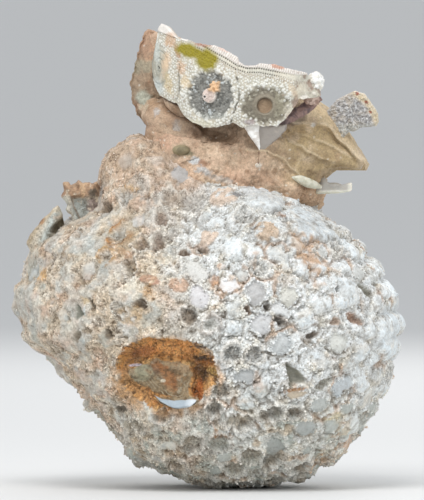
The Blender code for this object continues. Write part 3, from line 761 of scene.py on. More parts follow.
def coral_colours(points, placed, bent, place, zone, form, crust, smooth, rough):
    """The coral's colours: cream and ruddy on the left, bluish white on the right, greener low down, with the
    corallites' own colours, rust, pale lips and darker pores and nicks, and painted shade in the gaps between
    crust grains, in the valleys between its winding ridges and in crevices: low crust, moats and creases."""
    _, y, z = points.T
    kind, out, right, left, low = place.kind, place.out, zone.right, zone.left, zone.low
    inner = ramp(form.rise, 0.4, 0.92) * form.swelling * right
    colour = washed(
        plain(points, 226, 209, 185),
        (0.8 * zone.grey * left, (176, 182, 176)),
        (0.6 * zone.ruddy * left, (222, 186, 162)),
        (0.75 * patches(points, 9, 4, 40, 0.1, 0.28) * left, (234, 226, 210)),
        (right, (240, 244, 244)),
        (inner * (0.3 + 0.6 * place.chance), (222, 232, 237)),
        (inner * ramp(place.chance, 0.74, 0.9) * 0.6, (206, 206, 198)),
        (0.9 * zone.crown, (213, 183, 157)),
        (0.7 * zone.crown * patches(points, 6, 4, 45, 0.1, 0.25), (172, 168, 162)),
        (0.6 * low, (238, 238, 228)),
        (0.75 * low * patches(bent, 4, 3, 28, 0.08, 0.25), (178, 188, 180)),
        (0.6 * low * patches(points, 4, 3, 29, 0.2, 0.4), (214, 186, 148)),
        (patches(bent, 2.6, 3, 22, 0.05, 0.5) * (0.7 - 0.4 * right) * (1 - smooth), (240, 222, 198)),
        (0.6 * left * zone.bluish, (186, 194, 194)),
        (0.4 * left * (1 - smooth) * patches(points, 6, 4, 51, 0.12, 0.26), (212, 178, 150)),
        (0.9 * zone.brow, (207, 180, 154)),
        (0.6 * form.frill * (1 - 0.5 * low), (236, 230, 214)),
        (0.4 * patches(points, 5, 3, 23, 0.1, 0.6) * left, (222, 182, 156)),
        (0.4 * patches(points, 6, 3, 24, 0.1, 0.5) * (1 - 0.4 * right), (182, 180, 172)),
        (0.6 * right * ramp(place.wall, 0.9, 0.1) * patches(points, 6, 2, 31, 0.1, 0.4), (196, 152, 112)))
    colour = corallite_colours(colour, points, place, zone, form)
    worn = ramp(noise(points, 1.7, 35) + 0.4 * noise(points, 0.8, 35), -0.8, 0.1)
    worn = worn * (1 - 0.8 * (kind == PAD) * form.disc * form.within)
    colour = stained(colour, points, STAINS, 0.4, 0.9, 30, worn)
    colour = washed(colour, (0.6 * (kind == RING) * ramp(out, 0.7, 0.4), (188, 193, 190)))
    colour = stained(colour, points, BARE_STRIPS, 0.25, 0.3, 44)
    # Paler lips; the low ribs get painted light on their crests and painted shade between them.
    colour = washed(colour, (0.7 * form.lip, (245, 241, 232))) * (1 + 0.2 * form.ribs)[:, None]
    plain_crust = 1 - 0.9 * smooth
    shade = 1 - left * (0.08 * ramp(z, 56, 70) + 0.03) - right * (0.02 + 0.16 * ramp(z, 66, 80))
    shade = (shade + 0.08 * spot(points, -4, 71, 24, 17, 0, 0.5)) * (1 + crust.lightness * plain_crust)
    # Painted shade in crevices: darker in the low crust, in the moats beside pads and in the creases between
    # lumps.
    crevice_shade = np.maximum(ramp(rough, -0.6, -1.3), np.maximum(form.moat, 0.6 * form.crease))
    off = (placed - POCKET_CENTRE) / POCKET_RADII
    halo = np.hypot(off[:, 0], off[:, 2]) + 0.16 * rough_noise(points, 3.4, 3, 33)
    halo = ramp(halo, 1.12, 0.98) * (y < 0) * patches(points, 2.2, 1, 19, -0.6, 0.3)
    return washed(
        colour * shade[:, None],
        # Painted shade in the gaps between the small crust grains, then in the valleys between the winding
        # ridges.
        ((0.3 - 0.14 * right) * crust.gap * plain_crust, (132, 116, 94)),
        ((0.35 - 0.25 * right) * plain_crust * ramp(crust.worm, 0.4, 0.0), (172, 154, 130)),
        ((0.6 - 0.2 * right) * plain_crust * ramp(crust.worm, 0.6, 1.0) * ramp(crust.thread, 0.2, 0.7),
         (248, 240, 226)),
        ((0.68 - 0.2 * right) * plain_crust * crust.nick, (106, 88, 66)),
        (0.62 * crevice_shade, (128, 110, 84)),
        (0.7 * halo, (212, 172, 130)))


def coral_surface(way):
    """The head's surface in those directions: points, colours, smoothness and how thickly grains sit there.
    Each direction's radius is the plain head's, plus the height of the corallite nearest to it, plus crust
    and pores, less the pocket, and no lower than the table."""
    radius = head_radius(way)
    points = HEAD_CENTRE + radius[:, None] * way
    warp = wander(points, 3.4, (1, 2, 3), 3)
    bent = points + 1.5 * warp + 0.22 * wander(points, 0.9, (4, 5, 6))
    place = nearest_corallite(bent)
    zone = head_zones(points)
    form = corallite_forms(points, place, zone)
    crust = porous_crust(points, bent, warp, zone.right)
    strip = np.max([spot(points, *mark[:5], 0.25, 0.3, 44) for mark in BARE_STRIPS], axis=0)
    smooth = np.maximum(np.maximum(form.smooth, 0.48 * zone.silica), 0.8 * strip)
    rough = crust.height + 0.35 * rough_noise(points, 5.0, 2, 12) - 0.9 * crust.pore - 0.4 * crust.nick
    rough = rough * (1 - np.maximum(0.94 * smooth, 0.8 * form.swollen))
    radius = radius + form.height * form.within + 0.3 * form.ribs + 0.4 * form.frill * zone.right
    radius = radius - 0.8 * form.crease
    radius = radius + rough - 0.8 * strip + lobes(way) - 0.3
    radius = radius + 1.1 * rough_noise(points, 16, 2, 14) + 1.6 * zone.left * rough_noise(points, 6, 3, 16)
    radius, hollow = pocket_floor(HEAD_CENTRE + radius[:, None] * way, way, radius)
    clod, _, clod_mark = grains(points, 3.0, 6)
    floor = 0.9 * crust.height - 0.1 + 0.8 * (0.6 - clod) * clod_mark + 0.6 * rough_noise(points, 3, 2, 15)
    radius = radius + hollow * floor
    table = np.where(way[:, 2] < 0, -HEAD_CENTRE[2] / np.minimum(way[:, 2], -1e-9), np.inf)
    placed = HEAD_CENTRE + np.minimum(radius, table)[:, None] * way
    colour = coral_colours(points, placed, bent, place, zone, form, crust, smooth, rough)
    colour = np.where(hollow[:, None], rust_colours(points), colour)

    smooth = np.maximum(smooth, 0.3 * form.swollen)
    grainy = zone.right * (0.04 + 0.7 * form.frill) * (1 - 0.8 * form.swollen)
    grainy = (grainy + zone.left * 0.26 * ramp(crust.worm, 0.3, 0.7)) * (1 - smooth)
    pad_edge = hump(place.out - 0.98, 0.16) * (place.kind == PAD) * form.within
    grainy = np.where(hollow, 0.4, np.maximum(grainy, 0.5 * pad_edge) * (1 - crust.pore))
    smooth = np.maximum(smooth, zone.right * (0.25 + 0.45 * form.swollen))
    return placed, np.clip(colour, 0.01, 0.95), smooth, grainy


def crystals(places, ways, sizes, rng):
    """Closed eight-faced grains at the places: octahedra stretched 0.6 to 1.5 times along each axis and
    turned at random, with their middles a third of their size above the surface."""
    count = len(places)
    axes = np.array([[1, 0, 0], [-1, 0, 0], [0, 1, 0], [0, -1, 0], [0, 0, 1], [0, 0, -1]], float)
    corners = axes[None] * rng.uniform(0.6, 1.5, (count, 6, 1))
    spin = rng.normal(size=(count, 4))
    w, x, y, z = (spin / np.linalg.norm(spin, axis=1)[:, None]).T
    turn = np.array([[1 - 2 * (y * y + z * z), 2 * (x * y - z * w), 2 * (x * z + y * w)],
                     [2 * (x * y + z * w), 1 - 2 * (x * x + z * z), 2 * (y * z - x * w)],
                     [2 * (x * z - y * w), 2 * (y * z + x * w), 1 - 2 * (x * x + y * y)]])
    corners = np.einsum("ijn,nkj->nki", turn, corners) * sizes[:, None, None]
    points = places[:, None] + 0.33 * sizes[:, None, None] * ways[:, None] + corners
    one = [(0, 2, 4), (2, 1, 4), (1, 3, 4), (3, 0, 4), (2, 0, 5), (1, 2, 5), (3, 1, 5), (0, 3, 5)]
    faces = (np.array(one)[None] + 6 * np.arange(count)[:, None, None]).reshape(-1, 3)
    return points.reshape(-1, 3), faces


def crust_grains(name, count, keep, size, crowd, seed):
    """A closed mesh of loose grains over the crust: random directions, drawn to the front as the skin's
    are, kept by chance where the surface is grainy and where keep(direction) holds."""
    rng = np.random.default_rng(seed)
    level = rng.uniform(-1, 1, 6 * count)
    level = -np.cos(2 * np.arctan(crowd * np.tan(np.arccos(-level) / 2)))
    angle = rng.uniform(0, 2 * math.pi, len(level))
    across = np.sqrt(1 - level**2)
    way = np.stack([across * np.cos(angle), level, across * np.sin(angle)], axis=1)
    way = way[keep(way)]
    places, colours, _, grainy = coral_surface(way)
    chosen = np.flatnonzero((rng.random(len(way)) < grainy) & (places[:, 2] > 0.8))[:count]
    sizes = size * rng.uniform(0.5, 1.3, len(chosen)) * np.interp(places[chosen, 0], (-30, 0), (0.72, 1.0))
    points, faces = crystals(places[chosen], way[chosen], sizes, rng)
    points[:, 2] = np.maximum(points[:, 2], 0.02)
    lightness = rng.uniform(0.9, 1.15, len(chosen))[:, None]
    tints = np.clip(colours[chosen] * lightness + rng.uniform(0, 0.05, len(chosen))[:, None], 0.03, 0.93)
    made = piece(name, points, [faces], "coral_head", np.repeat(tints, 6, axis=0), stands_for=False)
    made.data.polygons.foreach_set("use_smooth", np.zeros(len(faces), bool))
    made.data.materials.append(coral_grain_stone)


HEAD_CUTS = 127
HEAD_CROWD = 0.62  # under 1: the skin's points lie closer together in front
skin_ways, skin_quads = sphere_grid(HEAD_CUTS, HEAD_CROWD)
skin_points, skin_colours, skin_smooth, _ = coral_surface(skin_ways)
coral = piece("coral", skin_points, [skin_quads], "coral_head", skin_colours, {"smooth": skin_smooth})
coral.data.materials.append(mineral("silicified coral", 0.5, 0.3, 0.3, 0.85, 0.38, pores=0.85))
coral_grain_stone = mineral("loose silica grains", 0.3, 0.08, 0.1, 0.7, 0.0)
crust_grains("crust_front", 16000, lambda way: way[:, 1] < 0.25, 0.36, HEAD_CROWD, 61)
crust_grains("crust_back", 11000, lambda way: way[:, 1] >= 0.25, 0.55, 1.0, 62)

# ----------------------------------------------------------
# Rock matrix. Fine-grained tan rock between the coral and the urchin, broken by hand tools: a flat slab
# stands up on the left, and a scoop with a sharp bevelled rim runs out to a beak on the right. Lengths in
# mm.

MATRIX_CENTRE = np.array([8.0, 10.0, 104.0])
MATRIX_OUTLINE = (  # angle, radius
    (-60, 28), (-38, 32.3), (-25, 29.6), (-22.8, 28.6), (-16, 31), (-11.8, 40.4), (-9, 39.2), (-6.7, 38),
    (-2.2, 35.6), (3.4, 33.6), (14, 30.4), (24, 27), (40, 25), (79, 20.5), (108, 24), (120, 35), (126, 39.5),
    (129, 40), (140, 36.5), (152, 33), (160, 31), (164, 30), (170, 26.5), (200, 27), (240, 26), (270, 25),
)
MATRIX_REACH = (  # angle, how far its rim reaches forward
    (0, 21), (40, 21), (90, 18), (112, 6), (120, 4), (150, 8), (163, 18), (172, 24), (200, 30), (230, 31),
    (270, 26), (300, 25), (330, 22),
)
MATRIX_FORWARD = 25.0  # how far its middle reaches forward
MATRIX_BACK = 11.0
MATRIX_SQUARENESS = 3
MATRIX_RIM = (
    (22, 110.5), (25.4, 109.4), (31.5, 109.6), (35.7, 107.6), (39.8, 103.5), (42.6, 100.2), (47.2, 95.6),
)
SCOOP_RIDGES = (
    ((11.4, 102), (16, 101.4), (20.4, 100), (23.6, 97.4), (27.2, 93.6), (28.6, 91.8)),
    ((24.2, 107.2), (29.4, 105.2), (34, 103.8), (38.6, 101.4), (42, 98.8)),
    ((24, 104), (29, 101.6), (33.6, 98.8), (37, 97.6)),
)
SWELLING_CENTRE = np.array([9.0, -3.0, 117.0])  # the rock behind the urchin
SWELLING_RADII = np.array([22.0, 16.0, 9.0])
MATRIX_GRID = (106, 0.6)  # cuts, and how much they crowd to the front
TEST_FRONT = (13.6, -20, 114)  # the foremost point of the urchin's plates
TEST_ACROSS, TEST_UP = 33, 40  # their two radii of curvature
TEST_THICKNESS = 2.8
TEST_BOTTOM = (
    (-17.3, 127), (-17, 122.5), (-16.4, 120.8), (-14.9, 117.6), (-12.2, 116.4), (-9.6, 115.4),
    (-8.2, 112.6), (-5, 109.6), (-1.2, 108.3), (3.6, 108.9), (7, 109.9), (9.3, 108.4), (12, 109),
    (16.4, 108.7), (20, 108.9), (22.4, 110.6), (24.6, 113.4), (27, 116.8), (30, 117), (33, 117.6),
)
TEST_TOP = (
    (-15.9, 134), (-14.9, 138.4), (-14.3, 139.2), (-12.6, 138.4), (-9.6, 134.9), (-6.7, 134.5),
    (-4.1, 133.6), (1, 132.9), (4.1, 131.9), (7.2, 130.3), (8.6, 129.2), (8.7, 128.1), (11.1, 126.9),
    (14, 126.9), (15, 127.6), (19.7, 127.2), (22.7, 126.2), (24.8, 125.7), (29, 124.6), (29.8, 123.6),
    (33, 124.4), (34.2, 123.6),
)
# Marks on the rock: x, z, half width and height, turn, strength, colour.
MATRIX_STAINS = (
    (2.5, 106, 4, 1.6, 0, 0.6, (132, 102, 76)), (-3, 108, 2.4, 1.4, 20, 0.6, (140, 106, 80)),
    (7, 104.6, 2.4, 0.8, 0, 0.5, (150, 116, 88)), (26, 111.4, 3, 2.2, 40, 0.8, (112, 94, 88)),
    (22, 108.2, 3, 1, 10, 0.6, (150, 128, 108)), (-15.7, 112.2, 0.8, 1, 0, 0.9, (214, 216, 216)),
    (-10, 109.4, 1.2, 0.8, 0, 0.7, (196, 190, 186)), (30.8, 108.8, 0.8, 0.6, 0, 0.9, (226, 218, 210)),
    (-21, 119, 2.4, 5.4, 6, 0.6, (178, 172, 150)), (-17, 115, 2, 2.4, 0, 0.6, (150, 112, 76)),
    (-7.5, 101.6, 2.6, 1.5, -20, 0.95, (122, 112, 86)), (-4.4, 98.7, 1.8, 1.3, 0, 0.9, (206, 206, 206)),
    (-1.8, 97.4, 1.5, 1.2, 0, 0.8, (164, 120, 92)), (-2, 95.6, 2.4, 1.2, -22, 0.8, (190, 188, 186)),
    (4, 92.8, 3.4, 1, -16, 0.6, (196, 190, 184)), (30.2, 89.6, 3.6, 0.5, -14, 0.6, (150, 106, 74)),
    (27, 86.6, 7.2, 2.6, 0, 0.6, (188, 150, 120)), (-17, 109, 3.6, 5, 0, 0.5, (158, 124, 98)),
    (-12, 112, 2.6, 3, 30, 0.4, (166, 128, 98)), (14.6, 97, 0.8, 0.8, 0, 0.9, (226, 214, 200)),
    (-13, 104.6, 5, 2.2, 15, 0.4, (214, 166, 140)), (20, 101.2, 3.6, 0.9, -20, 0.4, (148, 120, 92)),
    (33, 99.5, 7, 1.2, -18, 0.35, (150, 124, 86)), (10, 101, 3, 1.6, 0, 0.4, (226, 196, 170)),
    (16, 93.5, 5, 1.8, -15, 0.4, (168, 130, 104)), (-12, 99.6, 2.6, 1.2, 20, 0.5, (166, 148, 130)),
    (30.4, 94.6, 1.6, 1, 0, 0.6, (120, 96, 70)),
)


def around(table, degrees):
    """Values of an (angle, value) table at angles in degrees, joined by straight lines all the way round."""
    angles, values = np.array(table, float).T
    return np.interp(degrees, angles, values, period=360)


def test_place(x, z):
    """How far forward (y) the urchin's plates stand at (x, z): a round barrel across, a gentle bow upward."""
    across = np.clip(x - TEST_FRONT[0], -0.97 * TEST_ACROSS, 0.97 * TEST_ACROSS)
    return (TEST_FRONT[1] + TEST_ACROSS - np.sqrt(TEST_ACROSS**2 - across**2)
            + (z - TEST_FRONT[2]) ** 2 / (2 * TEST_UP))


def along(points, path):
    """For each (x, z) point: signed distance to a path of straight pieces (positive on its right-hand side)
    and the distance gone along the path to the nearest spot on it."""
    path = np.array(path, float)
    best, signed, gone, start = np.full(len(points), 1e9), np.zeros(len(points)), np.zeros(len(points)), 0.0
    for one, other in zip(path[:-1], path[1:]):
        run = other - one
        length = np.hypot(*run)
        share = np.clip(((points - one) @ run) / length**2, 0, 1)
        off = points - one - share[:, None] * run
        far = np.hypot(*off.T)
        side = np.sign(run[1] * off[:, 0] - run[0] * off[:, 1])
        closer = far < best
        best = np.where(closer, far, best)
        signed = np.where(closer, side * far, signed)
        gone = np.where(closer, start + share * length, gone)
        start += length
    return signed, gone


def beside(points, path):
    """Signed distance of points to a path on the front face."""
    return along(points[:, [0, 2]], path)[0]


def rock_radius(way):
    """Outline radius in the XZ plane, closed to front and back as a superellipse, joined with the swelling
    behind the urchin, which is an ellipsoid."""
    degrees = bearing(way)
    flat = np.hypot(way[:, 0], way[:, 2])
    across = around(MATRIX_OUTLINE, degrees)
    middle = sum(radius for _, radius in MATRIX_OUTLINE) / len(MATRIX_OUTLINE)
    across = middle + (across - middle) * flat**2
    forward = MATRIX_FORWARD + (around(MATRIX_REACH, degrees) - MATRIX_FORWARD) * flat
    reach = np.where(way[:, 1] < 0, forward, MATRIX_BACK)
    sides = (flat / across) ** MATRIX_SQUARENESS + (np.abs(way[:, 1]) / reach) ** MATRIX_SQUARENESS
    radius = sides ** (-1 / MATRIX_SQUARENESS)
    start, run = (MATRIX_CENTRE - SWELLING_CENTRE) / SWELLING_RADII, way / SWELLING_RADII
    a, b, c = (run**2).sum(1), (start * run).sum(1), (start**2).sum() - 1
    root = b * b - a * c
    return np.maximum(radius, np.where(root > 0, (-b + np.sqrt(np.maximum(root, 0))) / a, 0))


def flake_scars(points, count, sizes, depths, seed):
    """Scars that struck flakes leave: at random places on the rock, spheres bite a little into it. For each
    point, how deep the deepest bite goes there, and how far ahead it is of the next one, which is 0 along a
    ridge."""
    rng = np.random.default_rng(seed)
    way = rng.normal(size=(count, 3)) - [0, 0.7, 0]
    way /= np.linalg.norm(way, axis=1)[:, None]
    radius = rng.uniform(*sizes, count)
    deep = rng.uniform(*depths, count)
    spots = MATRIX_CENTRE + rock_radius(way)[:, None] * way
    middles = spots + (radius - deep)[:, None] * surface_normals(spots, MATRIX_CENTRE, rock_radius)
    cut = radius - np.linalg.norm(points[:, None] - middles[None], axis=2)
    two = np.partition(cut, -2, axis=1)[:, -2:]
    return np.clip(two[:, 1], 0, 1.1 * depths[1]), two[:, 1] - np.maximum(two[:, 0], 0)


def matrix_forms(points):
    """The parts of the rock's relief at points of the plain rock, in mm and as shares from 0 to 1."""
    x, y, z = points.T
    swayed = points[:, [0, 2]] + 0.5 * wander(points, 3, (51, 52))
    bent = points + 0.8 * wander(points, 4, (54, 55, 56))
    scar, ahead = flake_scars(bent, 150, (5, 13), (0.4, 1.7), 3)
    chip, chip_ahead = flake_scars(bent, 420, (1.6, 4.5), (0.2, 0.7), 5)
    small, _, mark = grains(points, 1.1, 9)
    return SimpleNamespace(
        front=ramp(y, 4.0, 2.0), rim=along(swayed, MATRIX_RIM)[0], beak=ramp(x, 20, 26) * ramp(z, 90, 93),
        ridges=[along(swayed, path)[0] for path in SCOOP_RIDGES], scar=scar, ahead=ahead, chip=chip,
        chip_ahead=chip_ahead, small=small, mark=mark, grainy=ramp(z + 3 * noise(points, 5, 58), 101, 93))


def matrix_skin():
    """A closed skin round the centre: the plain rock, with flake scars and grain, then scooped and bevelled
    along Y, and kept behind the urchin."""
    way, quads = sphere_grid(*MATRIX_GRID)
    points = MATRIX_CENTRE + rock_radius(way)[:, None] * way
    x, y, _ = points.T
    form = matrix_forms(points)
    front, rim, beak, grainy = form.front, form.rim, form.beak, form.grainy
    sand = 0.22 * rough_noise(points, 1.2, 2, 59)
    sand = sand + grainy * (0.6 * (0.5 - form.small) + 0.3 * (form.mark - 0.5))
    sand = sand - 0.7 * grainy * patches(points, 2.2, 1, 57, 0.3, 0.7)
    bites = form.scar * (1 - 0.75 * beak) + 0.9 * form.chip * (1 - 0.6 * beak)
    broken = 0.6 - bites + 0.35 * rough_noise(points, 4, 3, 57)
    moved = points + (broken + sand)[:, None] * surface_normals(points, MATRIX_CENTRE, rock_radius)
    for off in form.ridges:
        moved[:, 1] -= front * (0.7 * hump(off, 0.6) - 0.5 * hump(off - 1.2, 0.8))
    scooped = 2.6 * ramp(rim, 0.0, 1.0) * (0.75 + 0.25 * np.cos(rim / 3.2)) * ramp(rim, 17, 8)
    bevel = 0.8 * np.maximum(-rim, 0)
    beat = (rim * 0.8 + 0.25 * (x - 20) + 2 * noise(points, 12, 53)) / 2.0
    wave = 0.5 * np.abs(np.sin(beat)) * ramp(rim, 1, 4)
    room = 0.6 * np.maximum(4 - y, 0)
    moved[:, 1] += front * np.minimum(beak * (scooped + bevel + wave), room)
    hidden = ramp(moved[:, 0], -18.6, -17.2) * ramp(moved[:, 0], 36.5, 34.5)
    bottom = np.interp(moved[:, 0], *np.array(TEST_BOTTOM).T) - 0.1
    behind = test_place(moved[:, 0], moved[:, 2]) + TEST_THICKNESS + 0.5
    under = hidden * ramp(moved[:, 2], bottom - 0.7, bottom) * np.maximum(behind - moved[:, 1], 0)
    moved[:, 1] += under
    return moved, quads, matrix_colours(points, form, under)


def matrix_colours(points, form, under):
    """Pinkish tan, browner on the beak, with paler ridges and lips, stains, specks, and shade under the
    urchin."""
    x, _, z = points.T
    beak, grainy = form.beak, form.grainy
    ridge = ramp(form.ahead, 0.16, 0.03) * (form.scar > 0.1)
    ridge = np.maximum(ridge, 0.6 * ramp(form.chip_ahead, 0.10, 0.02) * (form.chip > 0.08))
    colour = washed(
        plain(points, 210, 180, 153),
        (ramp(x + 5 * noise(points, 9, 60), 14, 26), (196, 169, 131)),
        (beak * ramp(form.rim, 0.3, 1.5) * 0.7, (182, 156, 116)),
        (0.7 * grainy * (1 - beak), (216, 180, 152)),
        (0.45 * patches(points, 3, 3, 62, 0.1, 0.5), (172, 142, 116)),
        (0.5 * patches(points, 5, 3, 63, 0.1, 0.5), (222, 198, 172)),
        (0.4 * patches(points, 9, 3, 66, 0.1, 0.5) * (1 - beak), (198, 152, 126)),
        (0.25 * ramp(form.scar, 0.4, 1.3), (166, 138, 112)),
        (0.4 * ridge * patches(points, 1.6, 1, 69, -0.2, 0.5), (230, 208, 182)))
    colour = stained(colour, points, MATRIX_STAINS, 0.35, 0.8, 64)
    broken_line = form.front * patches(points, 2.4, 1, 65, -0.6, 0.2)
    lip = beak * (hump(form.rim + 0.35, 0.4) + 0.35 * ramp(form.rim, -0.4, -1.2))
    colour = washed(
        colour,
        *[(0.7 * ramp(np.abs(off), 0.5, 0.1) * broken_line, (222, 198, 164)) for off in form.ridges],
        (0.8 * lip * patches(points, 1.8, 1, 67, -1.0, -0.2), (224, 200, 168)))
    grain = 0.10 * rough_noise(points, 0.9, 2, 68) + 0.2 * (form.mark - 0.5) * (0.3 + grainy)
    speck, _, kind = grains(points, 1.7, 10)
    colour = washed(
        colour * (1 + grain)[:, None],
        (0.75 * ramp(speck, 0.24, 0.12) * (kind > 0.62), (232, 222, 206)),
        (0.6 * ramp(speck, 0.26, 0.14) * (kind < 0.2), (122, 94, 72)),
        (0.75 * ramp(under, 0, 0.6) * ramp(z, 128, 124), (124, 102, 88)),
        (0.35 * ramp(z, 105, 109) * ramp(z, 116, 112) * ramp(x, -16, -8) * ramp(x, 16, 8), (110, 92, 76)))
    return colour * [0.95, 0.99, 1.0]  # a little cooler all over


rock_points, rock_quads, rock_colours = matrix_skin()
rock = piece("rock_matrix", rock_points, [rock_quads], "matrix", rock_colours)
rock.data.materials.append(mineral("fine tan rock", 0.5, 0.2, 0.24, 0.82, 0.24, pores=0.2))

# ----------------------------------------------------------
# Urchin test. A broken strip of a sea urchin's shell: three large plates side by side, each with a tubercle
# in a sunk ring, beaded between them with granules, and along the top two rows of tube-foot pores. Lengths
# in mm.

TEST_STEPS = (340, 164)
BACK_STEP = 4  # the back of the strip has one point for so many of the front, each way
TUBERCLES = ((0, 117.9, 7.7, 7.4), (16.6, 115, 7.4, 5.7), (-15.2, 126, 5.2, 6.6))  # x, z, half sizes
PORE_ROWS = (
    (-6, 133.6), (-3, 132.6), (1, 130.4), (4.6, 128.6), (8, 126.4), (11, 125.5), (15, 125.5), (20.4, 124.4),
    (25, 123.4), (31, 123.2),
)
PORE_GAP = 0.69
SUTURES = (
    ((-9.8, 116.2), (-8.9, 120), (-9.4, 124), (-9, 127)),
    ((6.6, 109.6), (7, 112.6), (8.6, 116.4), (8.9, 119.4), (8.2, 123.4)),
)
BIG_BEADS = (
    (2.4, 125.2, 0.95), (5.3, 123.2, 0.95), (7, 119.8, 1), (9.8, 117.6, 0.7), (-7.9, 118, 0.75),
    (-1, 111, 0.8), (-3.6, 112.4, 0.7), (4.8, 112.2, 0.7),
)
# Marks on the plates: x, z, half width and height, turn, strength, colour.
TEST_STAINS = (
    (-11.6, 134, 1.8, 2, 0, 0.6, (204, 160, 118)), (-12.2, 121.4, 1.2, 3, 10, 0.5, (206, 180, 128)),
    (-9.6, 131, 0.8, 2.2, 20, 0.7, (168, 124, 88)), (-8.4, 126.2, 1.2, 2, 0, 0.5, (206, 160, 118)),
    (-7, 122, 1.4, 1.8, 0, 0.5, (224, 196, 150)), (-2.2, 133.2, 2.6, 0.8, -12, 0.7, (168, 112, 88)),
    (20.4, 126.6, 2, 0.7, -12, 0.7, (190, 128, 96)), (4.2, 131.6, 1.8, 0.5, -25, 0.5, (214, 176, 160)),
    (25, 119.6, 1, 2.4, 30, 0.5, (226, 206, 178)), (-16, 131, 0.9, 4.6, 4, 0.6, (208, 214, 208)),
    (-15.4, 120.6, 1.2, 2.4, 25, 0.6, (200, 208, 206)), (12, 110, 2, 0.7, 0, 0.6, (150, 132, 138)),
    (23.6, 113.8, 1.4, 1.6, 40, 0.5, (214, 206, 188)), (-2, 109.6, 4.4, 0.9, -6, 0.6, (212, 208, 186)),
)
# Algae: x, z, half width and height, turn, edge, strength, and the seed of its ragged edge.
ALGAE = (
    (-6.6, 131.4, 3, 1.9, -14, 0.6, 1, 82), (-0.8, 128.6, 2.8, 2.9, 0, 0.5, 1, 83),
    (-3.8, 130.4, 3.4, 1.6, -25, 0.5, 0.8, 84),
)


def arc(x):
    """Distance round the barrel from its foremost line to that x."""
    return TEST_ACROSS * np.arcsin(np.clip((x - TEST_FRONT[0]) / TEST_ACROSS, -0.999, 0.999))


def granules():
    """Places (arc, z) and radii of the beads: columns of small ones, a loose ring of larger ones round the
    two grey tubercles, and the biggest ones."""
    rng = np.random.default_rng(8)
    columns, rows = np.meshgrid(np.arange(-38, 24, 0.8), np.arange(106, 140, 0.9))
    beads = np.stack([columns.ravel(), rows.ravel()], axis=1)
    beads[:, 1] += 0.45 * (np.round(beads[:, 0] / 0.8) % 2)
    beads += rng.normal(0, 0.15, beads.shape)
    bead_x = TEST_FRONT[0] + TEST_ACROSS * np.sin(beads[:, 0] / TEST_ACROSS)
    bead_row = along(np.stack([bead_x, beads[:, 1]], axis=1), PORE_ROWS)[0]
    clear = np.min([np.hypot((beads[:, 0] - arc(cx)) / wide, (beads[:, 1] - cz) / high)
                    for cx, cz, wide, high in TUBERCLES], axis=0)
    beads, clear = beads[(clear > 1.02) & (bead_row > 1.0)], clear[(clear > 1.02) & (bead_row > 1.0)]
    sizes = [rng.uniform(0.24, 0.4, len(beads)) * (1 + 0.3 * ramp(clear, 1.5, 1.1))]
    rings = [beads]
    for (cx, cz, wide, high), count in zip(TUBERCLES[:2], (40, 26)):
        turn = 2 * math.pi * (np.arange(count) + rng.normal(0, 0.25, count)) / count
        far = rng.uniform(0.84, 1.06, count)
        rings.append(np.stack([arc(cx) + far * wide * np.cos(turn), cz + far * high * np.sin(turn)], axis=1))
        sizes.append(rng.uniform(0.26, 0.56, count))
    big = np.array(BIG_BEADS)
    rings.append(np.stack([arc(big[:, 0]), big[:, 1]], axis=1))
    sizes.append(big[:, 2])
    return np.concatenate(rings), np.concatenate(sizes)


def strip_outline():
    """(x, z) of the strip on a grid of shares: s from left to right, t from the broken lower edge to the
    upper one."""
    across, up = TEST_STEPS
    s, t = (value.ravel() for value in np.meshgrid(np.linspace(0, 1, across + 1), np.linspace(0, 1, up + 1),
                                                   indexing="ij"))
    bottom, top = np.array(TEST_BOTTOM).T, np.array(TEST_TOP).T
    low_x, high_x = bottom[0, 0] + s * np.ptp(bottom[0]), top[0, 0] + s * np.ptp(top[0])
    nick = 0.4 * rough_noise(np.stack([50 * s, 9 * t, 0 * s], axis=1), 1.1, 3, 70)
    low_z = np.interp(low_x, *bottom) + nick * ramp(t, 0.3, 0)
    high_z = np.interp(high_x, *top) + 0.7 * nick * ramp(t, 0.7, 1)
    return s, t, low_x + t * (high_x - low_x), low_z + t * (high_z - low_z)


